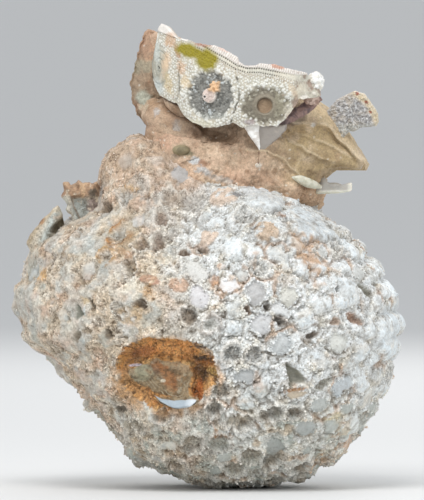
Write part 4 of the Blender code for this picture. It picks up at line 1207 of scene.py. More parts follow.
def test_forms(flat):
    """The parts of the plates' relief at points of the plain barrel: three tubercles (a dark sunk one with
    a round knob, a dull one with a socket, a worn one with a wheel round it), beads, seams, and the rows of
    pores."""
    x, _, z = flat.T
    plane = flat[:, [0, 2]]
    place = np.stack([arc(x), z], axis=1)
    sheet = np.column_stack([place, 0 * x])
    gaps = [place - [arc(cx), cz] for cx, cz, _, _ in TUBERCLES]
    off = [np.hypot(*gap.T) for gap in gaps]
    middle, right, left = (np.hypot(gap[:, 0] / wide, gap[:, 1] / high)
                           for gap, (_, _, wide, high) in zip(gaps, TUBERCLES))
    ripple = rough_noise(flat, 2.2, 3, 72)
    dark, dull = ramp(middle + 0.10 * ripple, 1.06, 0.90), ramp(right + 0.16 * ripple, 1.12, 0.82)
    worn = ramp(x - 0.35 * (z - 118) + rough_noise(flat, 3, 2, 78), 23.5, 26.5)
    row_side, row_gone = along(plane, PORE_ROWS)
    beads, bead_size = granules()
    nearest, _, bead_far = nearest_two(sheet, np.column_stack([beads, 0 * beads[:, 0]]), bead_size)
    bead = np.sqrt(np.maximum(1 - (bead_far / bead_size[nearest]) ** 2, 0))
    bead = bead * (left > 0.98) * (1 - 0.85 * worn)
    crystal, _, crystal_mark = grains(sheet + 0.3 * ripple[:, None], 0.7, 73)
    wheel = sum(hump(off[2] - far, thin) for far, thin in ((1.25, 0.3), (2.7, 0.25), (5.0, 0.22)))
    swayed = plane + 0.35 * wander(flat, 1.6, (76, 77))
    seam = np.max([hump(along(swayed, path)[0], 0.24) for path in SUTURES], axis=0)
    beat = np.abs(row_gone / PORE_GAP - np.round(row_gone / PORE_GAP)) * PORE_GAP
    ends = ramp(row_gone, 1.0, 3.0) * ramp(row_gone, 34, 26)
    return SimpleNamespace(
        off=off, right=right, left=left, ripple=ripple, dark=dark, dull=dull, ground=np.maximum(dark, dull),
        worn=worn, row_side=row_side, bead=bead, bead_size=bead_size[nearest], crystal=crystal,
        mark=crystal_mark,
        knob=ramp(off[0], 2.3, 2.0), hole=np.hypot(place[:, 0] - arc(-1.0), z - 117.5),
        crumb=spot(flat, 1.7, 120.6, 1.3, 1.9, -20, 0.3, 0.8, 74), socket=ramp(off[1], 2.45, 2.2),
        wheel=wheel * patches(flat, 3.0, 1, 87, -0.9, 0.0), seam=seam * patches(flat, 1.5, 1, 89, -0.7, 0.1),
        beat=beat, ends=ends,
        pore=ends * sum(hump(beat, 0.14) * hump(row_side - line, 0.2) for line in (-0.6, 0.6)),
        comb=np.cos(2 * math.pi * row_gone / PORE_GAP) * ramp(np.abs(row_side), 0.8, 1.0))


def test_height(flat, form):
    """How far the plates' parts stand out of the barrel, in mm."""
    off, row_side = form.off, form.row_side
    height = 0.25 * rough_noise(flat, 4, 2, 71) + form.worn * (1.3 * rough_noise(flat, 3.0, 3, 95) - 0.3)
    height += 0.62 * form.bead_size * form.bead * ramp(row_side, 0.8, 1.3)
    crystals = (0.5 * (0.5 - form.crystal) + 0.3 * (form.mark - 0.5)) * (0.35 + 0.65 * form.dark)
    height += form.ground * (crystals - 0.7)
    height += 0.3 * form.dark * hump(off[0] - 3.1, 0.5) + form.knob * (1.9 - 0.6 * (off[0] / 2.2) ** 2)
    height -= 0.9 * ramp(form.hole, 0.36, 0.16)
    height += form.crumb * (1.1 + 0.8 * rough_noise(flat, 0.9, 2, 75))
    height += 0.45 * hump(off[1] - 2.8, 0.45) * form.dull - 0.9 * form.socket
    plain_part = 0.15 * (form.left < 1) * rough_noise(flat, 1.4, 2, 88)
    height -= 0.3 * form.wheel + 0.7 * ramp(off[2], 0.5, 0.25) - plain_part
    height -= 0.5 * form.seam + 0.5 * form.pore
    return height + 0.16 * form.comb * ramp(row_side, 2.4, 1.5) + 0.25 * ramp(row_side, -0.5, -1.0)


def test_colours(flat, form):
    """Chalky plates with whiter beads and painted shade between them; the sunk grounds grey and brown, with
    light and dark crystals; a pinkish knob with a painted highlight along its lower right rim, a brown socket
    with a painted shadow arc at its upper left, white combs beside the dark pores, iron stains and green
    algae."""
    x, _, z = flat.T
    off, row_side, mark, ripple, dark = form.off, form.row_side, form.mark, form.ripple, form.dark
    rest = 1 - 0.8 * ramp(form.bead, 0.1, 0.6)
    dull = form.dull * rest
    worn_patch = rough_noise(flat, 2.4, 3, 96)
    colour = washed(
        plain(flat, 200, 197, 184),
        (0.6 * patches(flat, 3.4, 3, 90, 0.0, 0.5), (216, 208, 190)),
        (0.5 * patches(flat, 3.0, 3, 91, 0.1, 0.5), (190, 178, 158)),
        (ramp(form.bead, 0.2, 0.8), (222, 221, 213)),
        # Painted shade in the gaps between the beads.
        (0.3 * ramp(form.bead, 0.25, 0.0) * ramp(row_side, 0.9, 1.4) * (form.left > 1), (168, 154, 130)),
        (form.worn * ramp(worn_patch, -0.1, -0.4), (158, 140, 126)),
        (0.8 * form.worn * ramp(worn_patch, 0.05, 0.3), (232, 226, 216)),
        (0.8 * ramp(form.left, 1.15, 0.8), (162, 159, 143)),
        (0.6 * (form.left < 1.1) * patches(flat, 1.6, 3, 107, 0.05, 0.35), (208, 202, 187)),
        (0.4 * (form.left < 1) * form.wheel, (146, 152, 144)),
        (0.8 * spot(flat, -13.0, 127.6, 1.3, 3.4, -12, 0.6, 0.5, 92), (220, 192, 160)),
        (dull, (121, 114, 99)),
        (0.6 * dull * ramp(x + ripple, 17.5, 20.5), (156, 150, 128)),
        (0.6 * dull * ramp(mark + 0.5 * ripple, 0.35, 0.1), (92, 84, 72)),
        (dark * rest, (132, 131, 125)),
        (0.85 * dark * rest * ramp(mark + 0.5 * noise(flat, 2.4, 80), 0.72, 1.0), (196, 202, 202)),
        (0.7 * dark * rest * ramp(mark + 0.3 * noise(flat, 2, 93), 0.3, 0.05), (84, 84, 80)),
        (0.5 * dull * ramp(mark, 0.75, 0.95) * ramp(form.right, 0.5, 0.8), (206, 202, 184)),
        (0.5 * dark * ramp(z + ripple, 113.6, 111.4), (186, 188, 180)),
        (0.5 * ramp(off[1], 4.2, 3.0) * ramp(off[1], 2.3, 2.6), (158, 148, 130)),
        (form.knob, (216, 198, 188)),
        # Painted highlight along the knob's lower right rim.
        (form.knob * ramp(off[0], 1.7, 2.1) * ramp(x - z + 118, -1.5, 1), (234, 226, 216)),
        (0.8 * ramp(form.hole, 0.8, 0.5), (236, 228, 220)),
        (ramp(form.hole, 0.42, 0.26), (44, 34, 32)),
        (form.socket, (156, 132, 106)),
        # Painted shadow: a dark arc inside the socket's upper left rim.
        (form.socket * ramp(off[1], 1.7, 2.3) * ramp(z - x - 98.2, -1.0, 1.2), (96, 82, 66)),
        (ramp(off[2], 0.7, 0.35), (104, 106, 98)),
        (form.crumb, (224, 186, 146)),
        (ramp(row_side, -0.6, -1.0), (230, 224, 216)),
        (0.5 * ramp(form.comb, 0, -0.8) * ramp(row_side, 2.2, 1.4), (176, 160, 146)),
        (0.9 * hump(row_side, 0.35) * form.ends * ramp(form.comb + form.beat, 0.2, 0.5), (234, 226, 210)),
        (np.minimum(1.3 * form.pore, 1), (56, 44, 38)),
        (0.8 * form.seam, (96, 90, 76)))
    colour = stained(colour, flat, TEST_STAINS, 0.4, 0.6, 81)
    algae = np.max([strength * spot(flat, *oval, 0.3, seed) for *oval, strength, seed in ALGAE], axis=0)
    fleck, _, kind = grains(flat, 1.5, 94)
    colour = washed(
        colour,
        (np.minimum(1.3 * algae, 1.0), (146, 134, 10)),
        (0.6 * ramp(fleck, 0.24, 0.12) * (kind > 0.72) * (1 - form.ground), (150, 112, 92)))
    return colour * (1 + 0.12 * rough_noise(flat, 0.9, 2, 85))[:, None]


def test_plates():
    """The closed strip: its front face on the fine grid, a back on a coarser one, and the broken edge
    between them."""
    s, t, x, z = strip_outline()
    flat = np.stack([x, test_place(x, z), z], axis=1)
    slope_x = (x - TEST_FRONT[0]) / np.sqrt(TEST_ACROSS**2 - (x - TEST_FRONT[0]) ** 2)
    normal = np.stack([slope_x, -np.ones_like(x), (z - TEST_FRONT[2]) / TEST_UP], axis=1)
    normal /= np.linalg.norm(normal, axis=1)[:, None]
    form = test_forms(flat)
    rim = np.minimum(np.minimum(s, 1 - s) * 50, np.minimum(t, 1 - t) * 20)
    face = flat + (test_height(flat, form) * ramp(rim, -0.2, 0.6))[:, None] * normal
    thick = TEST_THICKNESS * (0.55 + 0.45 * ramp(rim, 0, 2.0)) + 0.2 * rough_noise(flat, 3, 2, 79)
    back = flat - thick[:, None] * normal
    inner = plain(flat, 190, 176, 156) * (1 + 0.1 * rough_noise(flat, 2, 3, 86))[:, None]

    index = np.arange(len(s)).reshape(TEST_STEPS[0] + 1, TEST_STEPS[1] + 1)
    kept = index[::BACK_STEP, ::BACK_STEP]
    coarse = np.zeros_like(index)
    coarse[::BACK_STEP, ::BACK_STEP] = len(s) + np.arange(kept.size).reshape(kept.shape)
    rear = grid_quads(coarse[::BACK_STEP, ::BACK_STEP])[:, ::-1]
    rim_line = np.concatenate([index[:, 0], index[-1, 1:], index[-2::-1, -1], index[0, -2:0:-1]])
    edge = np.stack([np.roll(rim_line, -step)[::BACK_STEP] for step in range(BACK_STEP, -1, -1)], axis=1)
    edge = np.hstack([edge, coarse.ravel()[edge[:, [-1, 0]]]])
    colours = np.concatenate([test_colours(flat, form), inner[kept.ravel()]])
    return np.concatenate([face, back[kept.ravel()]]), [grid_quads(index), rear, edge], colours


strip_points, strip_faces, strip_colours = test_plates()
test = piece("urchin_plates", strip_points, strip_faces, "urchin_test", strip_colours)
test.data.materials.append(mineral("urchin calcite", 0.3, 0.08, 0.12, 0.66, 0.14))


def lump(name, centre, radii, knob, size, node, colours, cuts=20, seed=0):
    """A closed knobbly lump: a sphere of those radii, with rounded grains of that size standing out by
    knob."""
    way, quads = sphere_grid(cuts)
    points = np.array(centre) + way * radii
    grain = grains(points, size, seed)
    points = points + (knob * (0.6 - grain[0]) + 0.4 * knob * noise(points, 0.5 * size, seed))[:, None] * way
    first, second = (screen_colour(*colour) for colour in colours)
    share = ramp(grain[2] + 0.5 * noise(points, size, seed + 1), 0.2, 0.9)[:, None]
    made = piece(name, points, [quads], node, first + share * (second - first), stands_for=False)
    made.data.materials.append(test.data.materials[0])
    return made


def rib(name, path, sizes, node, colours, material, sides=22, steps=90, knob=0.12):
    """A closed tapering rod with a rough skin, along a smooth path through given points, with given
    (across, deep) half sizes there."""
    path, sizes = np.array(path, float), np.array(sizes, float)
    at, knots = np.linspace(0, 1, steps + 1), np.linspace(0, 1, len(path))
    line = np.stack([np.interp(at, knots, path[:, i]) for i in range(3)], axis=1)
    for _ in range(6):
        line[1:-1] = (line[:-2] + 2 * line[1:-1] + line[2:]) / 4
    size = np.stack([np.interp(at, knots, sizes[:, i]) for i in range(2)], axis=1)
    turn = 2 * math.pi * np.arange(sides) / sides
    ahead = np.gradient(line, axis=0)
    ahead /= np.linalg.norm(ahead, axis=1)[:, None]
    side = np.cross(ahead, [0, 1, 0])
    side /= np.linalg.norm(side, axis=1)[:, None]
    points = (line[:, None] + np.cos(turn)[None, :, None] * (side * size[:, :1])[:, None]
              + np.sin(turn)[None, :, None] * (np.cross(side, ahead) * size[:, 1:])[:, None]).reshape(-1, 3)
    points = points + knob * wander(points, 1.2, (28, 29, 30), 2)
    index = np.arange((steps + 1) * sides).reshape(steps + 1, sides)
    ahead_index = np.roll(index, -1, axis=1)
    quads = np.stack([index[:-1], ahead_index[:-1], ahead_index[1:], index[1:]], axis=-1).reshape(-1, 4)
    foot, tip = np.full(sides, len(points)), np.full(sides, len(points) + 1)
    tips = np.concatenate([np.stack([ahead_index[0], index[0], foot], axis=1),
                           np.stack([index[-1], ahead_index[-1], tip], axis=1)])
    points = np.vstack([points, line[:1], line[-1:]])
    first, second = (screen_colour(*colour) for colour in colours)
    share = patches(points, 1.0, 3, 29, -0.3, 0.4)[:, None]
    made = piece(name, points, [quads, tips], node, first + share * (second - first), stands_for=False)
    made.data.materials.append(material)
    return made


lump("urchin_knob", (31.8, -12.6, 121.8), (2.3, 2.4, 2.9), 0.9, 1.2, "urchin_test",
     ((240, 240, 236), (226, 222, 212)))
lump("urchin_knob_foot", (30.6, -11.8, 117.6), (2.6, 2.2, 2.6), 0.8, 1.1, "urchin_test",
     ((208, 184, 170), (170, 140, 126)))
rib("urchin_break", ((33.2, -8.6, 117.4), (30.4, -9.8, 115.2), (27.2, -10.8, 113.0), (24.0, -12.2, 111.2),
                     (21.0, -13.6, 109.6), (19.4, -14.2, 108.8)),
    ((0.9, 0.8), (1.7, 1.2), (1.7, 1.3), (1.4, 1.0), (1.0, 0.7), (0.4, 0.3)), "urchin_test",
    ((150, 122, 114), (98, 82, 84)), test.data.materials[0], 26, 90, 0.5)

# ----------------------------------------------------------
# Rock slab. A flat slab of the same tan rock, broken all round, that stands up on the left behind the
# urchin, and an olive pebble that sits in the rock. The slab is a flake: an outline in the XZ plane, a
# little domed. Lengths in mm.


def outline(corners, count, cut=0.35):
    """A closed outline through rounded corners, at evenly spread points along it."""
    corners = np.array(corners, float)
    ahead, behind = np.roll(corners, -1, axis=0), np.roll(corners, 1, axis=0)
    blunt = corners * (1 - 0.25 * cut) + 0.125 * cut * (behind + ahead)
    rounded = np.stack([corners + cut * 0.5 * (behind - corners), blunt,
                        corners + cut * 0.5 * (ahead - corners)], axis=1).reshape(-1, 2)
    closed = np.vstack([rounded, rounded[:1]])
    gone = np.concatenate([[0], np.cumsum(np.hypot(*np.diff(closed, axis=0).T))])
    at = np.linspace(0, gone[-1], count, endpoint=False)
    return np.stack([np.interp(at, gone, closed[:, 0]), np.interp(at, gone, closed[:, 1])], axis=1)


def plate(corners, middle, rings, spokes, ragged, seed):
    """(x, z) places on rings from the middle to a slightly ragged outline, the share of the way out, and
    the faces of a closed plate: a front and a back that meet in the outermost ring."""
    line = outline(corners, spokes)
    line = line + ragged * wander(np.column_stack([line, 0 * line[:, 0]]), 1.2, (seed, seed + 1), 2)
    share = np.sin(np.linspace(0, math.pi / 2, rings + 1))[1:]
    middle = np.array(middle, float)
    places = middle + share[:, None, None] * (line - middle)
    front = np.vstack([middle[None], places.reshape(-1, 2)])
    out = np.concatenate([[0], np.repeat(share, spokes)])
    index = 1 + np.arange(rings * spokes).reshape(rings, spokes)
    closed = np.hstack([index, index[:, :1]])
    quads = grid_quads(closed)
    tips = np.stack([np.zeros(spokes, int), closed[0, :-1], closed[0, 1:]], axis=1)
    count = len(front)
    back_map = np.arange(count) + count
    back_map[index[-1]] = index[-1]
    faces = [quads, tips, back_map[quads][:, ::-1], back_map[tips][:, ::-1]]
    return front, out, faces


def flake(name, node, corners, middle, depth, thick, relief, paint, material, rings=34, spokes=150,
          ragged=0.2, calm=None, stands_for=True):
    """A plate whose front is at y = depth(x, z) less half its thickness, whose edge is rounded, whose
    relief(points, share) stands out of the front, whose colours are paint(points, share) and whose
    smoothness is calm(points)."""
    seed = 90 + len(name)
    places, out, faces = plate(corners, middle, rings, spokes, ragged, seed)
    level = depth(places[:, 0], places[:, 1])
    half = 0.5 * thick * np.sqrt(np.maximum(1 - out**5, 0))
    spots = np.stack([places[:, 0], level, places[:, 1]], axis=1)
    front = spots - np.outer(half + relief(spots, out) * ramp(out, 1.0, 0.93), [0, 1, 0])
    back = spots + np.outer(half + 0.25 * rough_noise(spots, 2, 3, seed) * (out < 0.99), [0, 1, 0])
    colours = paint(spots, out)
    points = np.vstack([front, back])
    used = np.zeros(len(points), bool)
    for group in faces:
        used[group.ravel()] = True
    renumber = np.cumsum(used) - 1
    masks = {"smooth": calm(points[used])} if calm else {}
    made = piece(name, points[used], [renumber[group] for group in faces], node,
                 np.vstack([colours, colours])[used], masks, stands_for)
    made.data.materials.append(material)
    return made


SLAB = (
    (-19.1, 137.2), (-15.5, 136.6), (-11, 130), (-8, 118), (-7, 106), (-9, 99), (-17, 100), (-17.8, 106.5),
    (-19.6, 109.6), (-21.6, 111.4), (-23.1, 114.8), (-23.8, 121.3), (-22.6, 126), (-21.4, 130.6),
    (-20.2, 134.6),
)


def slab_place(x, z):
    """The middle of the slab's thickness: close behind the urchin's left edge, and further forward low
    down."""
    return test_place(-16.6, z) + TEST_THICKNESS + 6.7 - 6 * ramp(z, 114, 102)


def slab_relief(spots, out):
    """Shallow round bites at random places, an edge that falls away, and grain."""
    rng = np.random.default_rng(12)
    count = 90
    places = np.stack([rng.uniform(-25, -8, count), np.zeros(count), rng.uniform(100, 138, count)], axis=1)
    bite = rng.uniform(2, 9, count)
    flat = (spots + 0.7 * wander(spots, 3, (97, 97, 98))) * [1, 0, 1]
    far = np.linalg.norm(flat[:, None] - places[None], axis=2)
    cut = np.maximum(rng.uniform(0.25, 0.9, count) - far**2 / (2 * bite), 0).max(axis=1)
    edge = -2.2 * ramp(out, 0.6, 0.97) * (0.6 + 0.4 * noise(spots, 5, 99))
    return edge - cut + 0.5 * rough_noise(spots, 5, 3, 100) + 0.25 * rough_noise(spots, 1.2, 2, 101)


def slab_paint(spots, out):
    """Brown rock with upright streaks, greyer and greener patches, a ruddy top and pale specks."""
    _, _, z = spots.T
    face = spots * [1, 0, 1]
    streak = rough_noise(spots * [1, 1, 0.35], 2.4, 3, 61)
    speck, _, kind = grains(spots, 1.7, 10)
    colour = washed(
        plain(spots, 160, 138, 115),
        (0.8 * ramp(streak, 0.0, 0.4), (124, 100, 79)),
        (0.7 * patches(spots, 4, 3, 65, 0.05, 0.4), (156, 149, 128)),
        (0.7 * ramp(z + 4 * streak, 126, 134), (186, 150, 124)),
        (0.5 * patches(spots, 3, 3, 66, 0.1, 0.5), (178, 138, 110)),
        (0.4 * patches(spots, 1.3, 2, 102, 0.2, 0.5), (136, 110, 88)),
        (0.8 * spot(face, -19.6, 116.6, 2.2, 2.2, 0, 0.5, 0.6, 103), (182, 186, 170)),
        (0.7 * spot(face, -16.4, 112.4, 1.2, 1.4, 0, 0.5, 0.6, 104), (214, 212, 204)),
        (0.7 * ramp(speck, 0.24, 0.12) * (kind > 0.62), (232, 222, 206)))
    return colour * (1 + 0.1 * rough_noise(spots, 0.9, 2, 105))[:, None]


flake("rock_slab", "matrix", SLAB, (-15, 117), slab_place, 12.0, slab_relief, slab_paint,
      rock.data.materials[0], 60, 220, 0.5, None, False)
lump("olive_pebble", (-8.4, -13.4, 101.5), (2.6, 1.7, 1.6), 0.15, 2.4, "matrix",
     ((146, 134, 104), (116, 106, 80)))

# ----------------------------------------------------------
# Side shell. A fan-shaped piece of shell that stands out of the rock on the right, its face turned to
# sparkling grey crystals, with a tan upper edge that has three rust spots. Lengths in mm.

SIDE_SHELL = (
    (33.5, 108), (35.2, 113), (38.2, 116.2), (40.7, 117.6), (43.7, 119), (46.7, 118), (48.8, 115.2),
    (50.6, 112.4), (50.9, 109.5), (50, 108.2), (45.7, 108), (43.6, 106.6), (42, 107), (38, 102),
)
SIDE_RIM = ((36, 115), (42, 118.4), (47.6, 113.6), (49.4, 109))
RUST_SPOTS = ((44.3, 118.2, 0.7), (47.1, 115.6, 0.6), (48.3, 112.6, 0.5))  # x, z, half width
CRYSTAL_SIZE = 0.55
crystal = mineral("grey crystals", 0.3, 0.14, 0.25, 0.42, 0.3, (0.62, 0.62, 0.62), 0.1, 0.7)
shelly = mineral("weathered shell", 0.35, 0.08, 0.10, 0.5, 0.05)
glassy = mineral("milky chalcedony", 0.6, 0.05, 0.05, 0.32, 0.0, clear=0.25, sheen=0.6)


def side_relief(spots, out):
    """Crystals of random height, and a raised edge."""
    grain, _, mark = grains(spots, CRYSTAL_SIZE, 3)
    return 0.4 * (0.5 - grain) + 0.5 * (mark - 0.5) + 0.35 * ramp(out, 0.8, 0.92)


def side_paint(spots, out):
    """Grey with lighter and darker crystals, tan along the upper edge, with the rust spots there."""
    upper = ramp(beside(spots, SIDE_RIM), 0.6, -1.0)
    mark = grains(spots, CRYSTAL_SIZE, 3)[2]
    return washed(
        plain(spots, 168, 164, 160),
        (ramp(mark, 0.6, 0.9), (198, 197, 196)),
        (0.7 * ramp(mark, 0.35, 0.1), (136, 131, 130)),
        (0.5 * patches(spots, 3, 3, 106, 0.0, 0.4), (196, 180, 156)),
        (0.9 * upper, (216, 198, 164)),
        *[(spot(spots, x, z, size, 0.7 * size, -30, 0.4, 0.4, 5), (150, 78, 44))
          for x, z, size in RUST_SPOTS],
        (0.5 * ramp(spots[:, 2], 110, 108), (206, 206, 196)))


flake("side_shell_skin", "side_shell", SIDE_SHELL, (43, 111.5), lambda x, z: 1 + 0.02 * (x - 43) ** 2, 4.5,
      side_relief, side_paint, crystal, 44, 180)

# ----------------------------------------------------------
# Pale lens and shell chip. Two bits of milky chalcedony that stick out under the beak of the rock: a smooth
# lens, and beside it a thin chip of shell with a notched upper edge. Lengths in mm.

rib("pale_lens",
    ((24.6, -10.6, 93.4), (27.0, -10.4, 92.8), (29.4, -9.2, 91.7), (31.6, -7.2, 90.9), (33.4, -5.0, 90.2)),
    ((0.3, 0.3), (1.25, 0.9), (1.5, 1.1), (1.2, 0.9), (0.5, 0.5)), "matrix",
    ((214, 211, 194), (194, 190, 168)), glassy, 24, 70, 0.05)

CHIP = (
    (31.6, 90.2), (32.4, 91), (33.2, 92.8), (34.6, 93.5), (35.2, 91.9), (36, 91.4), (37.6, 91.5),
    (39.2, 91.1), (40.6, 90.4), (42.2, 91.4), (42.9, 91.3), (42.7, 88.9), (40, 88.3), (36, 88), (31.6, 88),
)


def chip_paint(spots, out):
    """Grey, whiter below and at its right end, darker at its left end."""
    return washed(
        plain(spots, 186, 182, 174),
        (ramp(spots[:, 2], 89.6, 88.4), (222, 222, 206)),
        (ramp(spots[:, 0], 41, 42.4), (226, 222, 208)),
        (0.6 * ramp(spots[:, 0], 34.5, 33) * ramp(spots[:, 2], 90, 91), (132, 126, 118)))


flake("chip_skin", "shell_chip", CHIP, (36.4, 89.8), lambda x, z: 0 * x + 0.4, 2.4,
      lambda spots, out: 0.35 * ramp(spots[:, 2], 89.4, 88.6) + 0.15 * rough_noise(spots, 1.5, 2, 6),
      chip_paint, glassy, 20, 140, 0.12)

# ----------------------------------------------------------
# Rusty shell. A thick broken edge of shell at the coral's upper left: a hollow with a raised rim in its
# face, and a rust-brown crust along its jagged top. Lengths in mm.

RUSTY_SHELL = (
    (-43.8, 90.4), (-43.9, 91.6), (-42.2, 92), (-41.6, 91), (-40.3, 91.4), (-39.2, 92.5), (-38, 91.6),
    (-35.9, 91.9), (-35.2, 91.3), (-33.6, 92), (-31.6, 86), (-32, 80), (-36, 77), (-41.2, 78.4),
    (-41.3, 81.8), (-42.5, 82.8), (-43.1, 83.6), (-42.6, 84.9), (-43.2, 86.1), (-44.5, 87.3), (-43.6, 89),
)
weathered = mineral("weathered shell", 0.4, 0.16, 0.26, 0.72, 0.3, pores=0.7)


def rusty_relief(spots, out):
    """The hollow, its rim, a rough face and a thicker top."""
    _, _, z = spots.T
    hollow = spot(spots, -38.6, 83.6, 2.9, 4.0, 25, 0.4, 0.2, 8)
    rim = hump(beside(spots, ((-41.4, 87.6), (-40.4, 84), (-38.6, 80.6))), 0.5)
    rough = (1 - hollow) * 0.8 * rough_noise(spots, 1.8, 3, 7)
    return -1.4 * hollow + 0.9 * rim + rough + 0.8 * ramp(z, 86.5, 88)


def rusty_paint(spots, out):
    """Cream, grey in the hollow and at the left, rust brown on top, with a dark seam."""
    x, _, z = spots.T
    colour = washed(
        plain(spots, 222, 208, 188),
        (0.7 * ramp(x, -41.4, -43) * ramp(z, 89, 87), (206, 208, 198)),
        (spot(spots, -38.6, 83.6, 3.0, 4.2, 25, 0.4, 0.3, 8), (178, 182, 176)),
        (0.9 * spot(spots, -34.8, 84.4, 1.8, 2.4, 20, 0.4, 0.4, 12), (150, 132, 126)))
    top = ramp(z + 0.9 * noise(spots, 2, 9), 86.9, 88.3)
    colour = washed(
        colour,
        (top, (174, 142, 114)),
        (0.8 * top * patches(spots, 1.8, 3, 10, 0.0, 0.4), (212, 178, 142)),
        (0.8 * top * patches(spots, 1.8, 3, 30, 0.1, 0.5), (150, 110, 82)))
    seam = beside(spots, ((-41.4, 88.2), (-40.6, 84.6), (-38.8, 81)))
    return washed(
        colour,
        (0.7 * hump(seam, 0.28), (124, 98, 74)),
        (0.9 * spot(spots, -34.9, 88.6, 1.2, 1.4, 0, 0.4, 0.6, 11), (88, 80, 68)),
        (0.7 * patches(spots, 1.1, 2, 31, 0.3, 0.6), (236, 220, 196)))


flake("rusty_shell_skin", "rusty_shell", RUSTY_SHELL, (-38, 85), lambda x, z: -7 + 0.05 * (x + 39) ** 2, 6.0,
      rusty_relief, rusty_paint, weathered, 36, 170, 0.3)

# ----------------------------------------------------------
# Grey shell. A broken edge of shell below it, at the far left: smooth and grey along a fold, tan along its
# outer edge, with a dark hollow towards the coral. Lengths in mm.

GREY_SHELL = (
    (-54.8, 73), (-53.9, 76), (-52, 78.2), (-50.6, 80), (-48.6, 82), (-47, 83.8), (-45.4, 85),
    (-44.4, 83.6), (-43.9, 81.8), (-43.6, 79.4), (-43.4, 76), (-44, 72.4), (-47, 70), (-53, 70),
)


GREY_FOLD = ((-45.6, 84), (-47.4, 79), (-49.6, 74))


def grey_relief(spots, out):
    """The hollow, the fold and a rough face."""
    hollow = spot(spots, -45.3, 78.6, 1.2, 3.0, -40, 0.5, 0.4, 16)
    fold = hump(beside(spots, GREY_FOLD), 1.3)
    return -1.9 * hollow + 0.9 * fold + 0.45 * rough_noise(spots, 2.2, 3, 13)


def grey_paint(spots, out):
    """Cream, grey along the fold, tan along the outer edge, dark in the hollow."""
    colour = plain(spots, 208, 196, 176)
    fold = hump(beside(spots, GREY_FOLD), 1.6)
    colour = washed(colour, (fold, (190, 196, 190)))
    rim = beside(spots, ((-55, 72.6), (-52, 78.2), (-48.6, 82), (-45.4, 85)))
    return washed(
        colour,
        (0.8 * ramp(np.abs(rim), 1.3, 0.5), (190, 172, 144)),
        (0.8 * spot(spots, -50.2, 80.2, 1.3, 0.8, 50, 0.4, 0.4, 15), (168, 124, 84)),
        (0.7 * spot(spots, -45.6, 83.8, 1.2, 1.0, 0, 0.4, 0.4, 15), (226, 214, 190)),
        (0.5 * patches(spots, 1.8, 3, 14, 0.1, 0.5), (222, 196, 172)),
        (spot(spots, -45.2, 78.6, 1.3, 3.2, -40, 0.5, 0.4, 16), (100, 90, 68)))


flake("grey_shell_skin", "grey_shell", GREY_SHELL, (-48.4, 77), lambda x, z: -8 + 0.04 * (x + 49) ** 2, 4.6,
      grey_relief, grey_paint, weathered, 36, 150, 0.25)

# ----------------------------------------------------------
# Clam shell in the rusty pocket. The inside of one valve, in thin worn layers that step down to its lower
# edge, with a bright rind of mother-of-pearl along the bottom and iron stains over the middle. Lengths in
# mm.

CLAM = (
    (-25.6, 38.8), (-20.6, 40.4), (-17.6, 42.6), (-12.2, 43.2), (-8.6, 42), (-3.8, 40.2), (-2.4, 35),
    (-3, 31.4), (-3.4, 29.2), (-3, 27.4), (-5.7, 25.8), (-10.4, 25.2), (-14.2, 26.6), (-17.2, 28.6),
    (-19.8, 30.2), (-22.8, 31.8), (-25.8, 34.4),
)
CLAM_LOWER = ((-24, 34), (-18, 27.6), (-10, 23.6), (-4, 25.2), (-2.6, 32))  # the layers are counted from it
LAYER = 0.9
LAYERS_LEFT = 6
CLAM_RIND = ((-16.4, 29.2), (-14.2, 27.7), (-10.6, 26.6), (-7, 26.7), (-3.8, 28))


def clam_edge(x, z):
    """How far each place is from the shell's outline."""
    line = outline(CLAM, 120)
    return np.min(np.hypot(x[:, None] - line[:, 0], z[:, None] - line[:, 1]), axis=1)


def clam_level(x, z):
    """The bowl: the pocket's floor, brought forward 1.3 mm but sunk into the rust along the outline."""
    wide, set_back = pocket_shape((x - POCKET_CENTRE[0]) / POCKET_RADII[0],
                                  (z - POCKET_CENTRE[2]) / POCKET_RADII[2])
    floor = POCKET_CENTRE[1] + POCKET_RADII[1] * (set_back + np.maximum(1 - wide, 0.02) ** (1 / POCKET_BOWL))
    sunk = ramp(clam_edge(x, z), 2.6, 0.2) * (1 - ramp(x, -17.5, -15.5) * ramp(z, 30.5, 29))
    return floor - 1.3 + 2.2 * sunk


def clam_layers(spots):
    """How many worn layers lie over a point, counted from the lower edge, and the rind's share."""
    face = spots[:, [0, 2]]
    lower = np.abs(along(face + 0.9 * wander(spots, 3, (17, 18), 3), CLAM_LOWER)[0])
    rind, gone = along(face, CLAM_RIND)
    wide = 1.25 * np.sin(math.pi * np.clip(gone / 13.4, 0, 1) ** 1.7) ** 0.6
    return lower / LAYER, ramp(np.abs(rind), wide + 0.1, wide - 0.1)


def clam_buried(spots):
    """Where rust crust lies over the shell: a ragged band along its outline, but not along the rind."""
    x, _, z = spots.T
    edge = clam_edge(x, z) + 2.4 * rough_noise(spots, 4.0, 5, 40) - 1.2 * ramp(z, 36, 40)
    open_part = np.maximum(clam_layers(spots)[1], ramp(x, -16.5, -14.5) * ramp(z, 29.5, 28))
    return ramp(edge, 2.3, 1.6) * (1 - open_part)


def clam_relief(spots, out):
    """Steps down from layer to layer, a raised rind, and crumbs where rust lies over the shell."""
    layers, rind = clam_layers(spots)
    crumb, _, mark = grains(spots, 1.3, 41)
    step = np.floor(layers) + ramp(layers - np.floor(layers), 0.0, 0.3)
    worn = ramp(layers, LAYERS_LEFT + 1, LAYERS_LEFT - 1)
    own = -0.1 * np.minimum(step, LAYERS_LEFT) * worn - 0.6 * (1 - worn)
    own = own + 0.5 * rough_noise(spots, 1.4, 4, 19) * (1 - rind) + 0.9 * rind
    return own + clam_buried(spots) * (0.1 + 0.9 * (0.5 - crumb) + 0.7 * (mark - 0.5))


